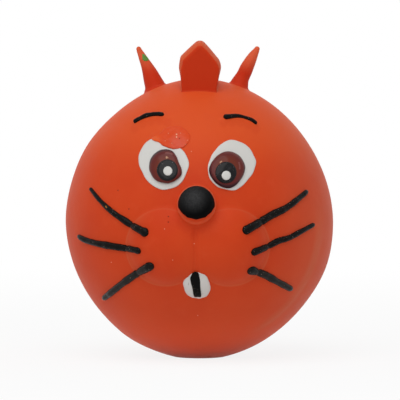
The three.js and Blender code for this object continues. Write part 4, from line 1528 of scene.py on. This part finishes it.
def makeSqueaker():
    s = squeaker
    bore = s["radius"] - s["wall"]
    corners = [
        (0, 0), (s["flangeRadius"], 0), (s["flangeRadius"], s["flange"]), (s["radius"], s["flange"]),
        (s["radius"], s["barbFrom"]), (s["radius"] + s["barb"], s["barbFrom"]),
        (s["radius"], s["barbFrom"] + s["barbHeight"]), (s["radius"], s["height"]),
        (bore, s["height"]), (bore, s["flange"]), (0, s["flange"]),
    ]
    body = makePlastic("squeaker_cup", corners, "squeaker_body")
    points, faces = turned([(0, -1), (s["outlet"], -1), (s["outlet"], 3), (0, 3)], 40)
    cutOut(body, [cutter(np.array(points) + (0, s["outletBack"], 0), faces)])

    lid = s["height"] + s["capGap"]
    seat = bore - s["fit"]
    skirt = s["height"] - s["capSkirt"]
    corners = [
        (0, lid), (seat - s["capSkirtWall"], lid), (seat - s["capSkirtWall"], skirt), (seat, skirt),
        (seat, lid), (s["radius"], lid), (s["radius"], lid + s["cap"]), (0, lid + s["cap"]),
    ]
    cap = makePlastic("squeaker_lid", corners, "squeaker_cap")
    box = np.array([(x, y, z) for x in (-0.5, 0.5) for y in (-0.5, 0.5) for z in (0, 1)])
    box = box * (s["slotWidth"], s["slotLength"], 4)
    faces = [(0, 1, 3, 2), (4, 6, 7, 5), (0, 4, 5, 1), (2, 3, 7, 6), (0, 2, 6, 4), (1, 5, 7, 3)]
    cutOut(cap, [cutter(box + (i * s["slotPitch"], 0, lid - 1), faces) for i in (-1, 0, 1)])


def makeFilling():
    gap = ball["wall"] + filling["gap"]
    outerFrom = footLevel + filling["collarTop"]
    pocketTop = footLevel + filling["capTop"]
    profile = [(0, pocketTop), (filling["barrelPocket"], pocketTop), (filling["barrelPocket"], outerFrom),
               (filling["collarPocket"], outerFrom)]
    for turn in np.linspace(-0.95, math.pi / 2, 60)[:-1]:
        up = turn > 0
        height = (ball["crown"] if up else ball["belly"]) - gap
        curve = ball["crownCurve"] if up else ball["bellyCurve"]
        radius = (half - gap) * math.cos(turn) ** (2 / curve)
        level = math.copysign(height * abs(math.sin(turn)) ** (2 / curve), turn)
        if level > outerFrom + 0.4:
            profile.append((radius, level))
    profile.append((0, ball["crown"] - gap))
    points, faces = turned(rounded(profile[:5], 0.8) + profile[5:], 120)
    points = np.array(points)
    reach = np.linalg.norm(points, axis=1)
    outer = ramp(reach, *filling["lumpBand"])
    lump = (wave(points, 2.2) * 0.5 + wave(points, 3.9, 1.0) + 1.5) / 3
    points = points * (1 - filling["lump"] * outer * lump / np.maximum(reach, 1))[:, None]
    piece = makePiece("wadding_fill", points, faces, wadding, "fibre_filling")


makeSqueaker()
makeFilling()
for name in ("reed_seat", "reed_clip", "reed"):
    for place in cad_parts[name].material_slots:
        place.material = reedBronze if name == "reed" else finishes["squeaker_plastic"]

print("light and floor")

studio = {
    "world": 0.45,
    "key": 19.6,
    "keyPlace": (-250.0, -1000.0, 1500.0),
    "keyAim": (0.0, 0.0, 40.0),
    "keySize": 2000.0,
    "floorRadius": 3000.0,
    "floorGlow": 0.86,  # beside the toy, so that its shadow shows
    "whiteFrom": (80.0, 420.0),  # farther off the floor turns as white as the world
    "white": (1, 1, 1, 1),
    "floor": (0.9, 0.9, 0.9, 1),
}


def makeWorld():
    world = bpy.data.worlds.new("studio")
    bpy.context.scene.world = world
    made = Finish("studio", world)
    lit = made.node("ShaderNodeBackground", None, {"Color": studio["white"], "Strength": studio["world"]})
    shown = made.node("ShaderNodeBackground", None, {"Color": studio["white"], "Strength": 1.0})
    both = made.node("ShaderNodeMixShader", None, {0: made.seen(), 1: lit, 2: shown})
    made.node("ShaderNodeOutputWorld", None, {"Surface": both})


def makeFloor():
    made = Finish("pale_floor")
    matt = made.node("ShaderNodeBsdfDiffuse", None, {"Color": studio["floor"]})
    glow = made.node("ShaderNodeEmission", None, {"Color": studio["white"], "Strength": 1.0})
    away = made.node("ShaderNodeVectorMath", {"operation": "LENGTH"}, {0: made.place}, output=1)
    glowing = made.smooth(away, *studio["whiteFrom"]) * (1 - studio["floorGlow"]) + studio["floorGlow"]
    both = made.node("ShaderNodeMixShader", None, {0: made.seen() * glowing, 1: matt, 2: glow})
    made.node("ShaderNodeOutputMaterial", None, {"Surface": both})
    turns, radius = fullTurn(96), studio["floorRadius"]
    mesh = makeMesh("floor", [(radius * math.cos(t), radius * math.sin(t), 0) for t in turns], [range(96)])
    mesh.materials.append(made.material)
    addObject("floor", mesh)


def makeKey():
    data = bpy.data.lights.new("softbox", "AREA")
    data.shape = "DISK"
    data.size = studio["keySize"] * mm
    data.energy = studio["key"]
    aim(addObject("softbox", data), Vector(studio["keyPlace"]) * mm, Vector(studio["keyAim"]) * mm)


makeWorld()
makeFloor()
makeKey()
bpy.context.scene.view_settings.view_transform = "Standard"
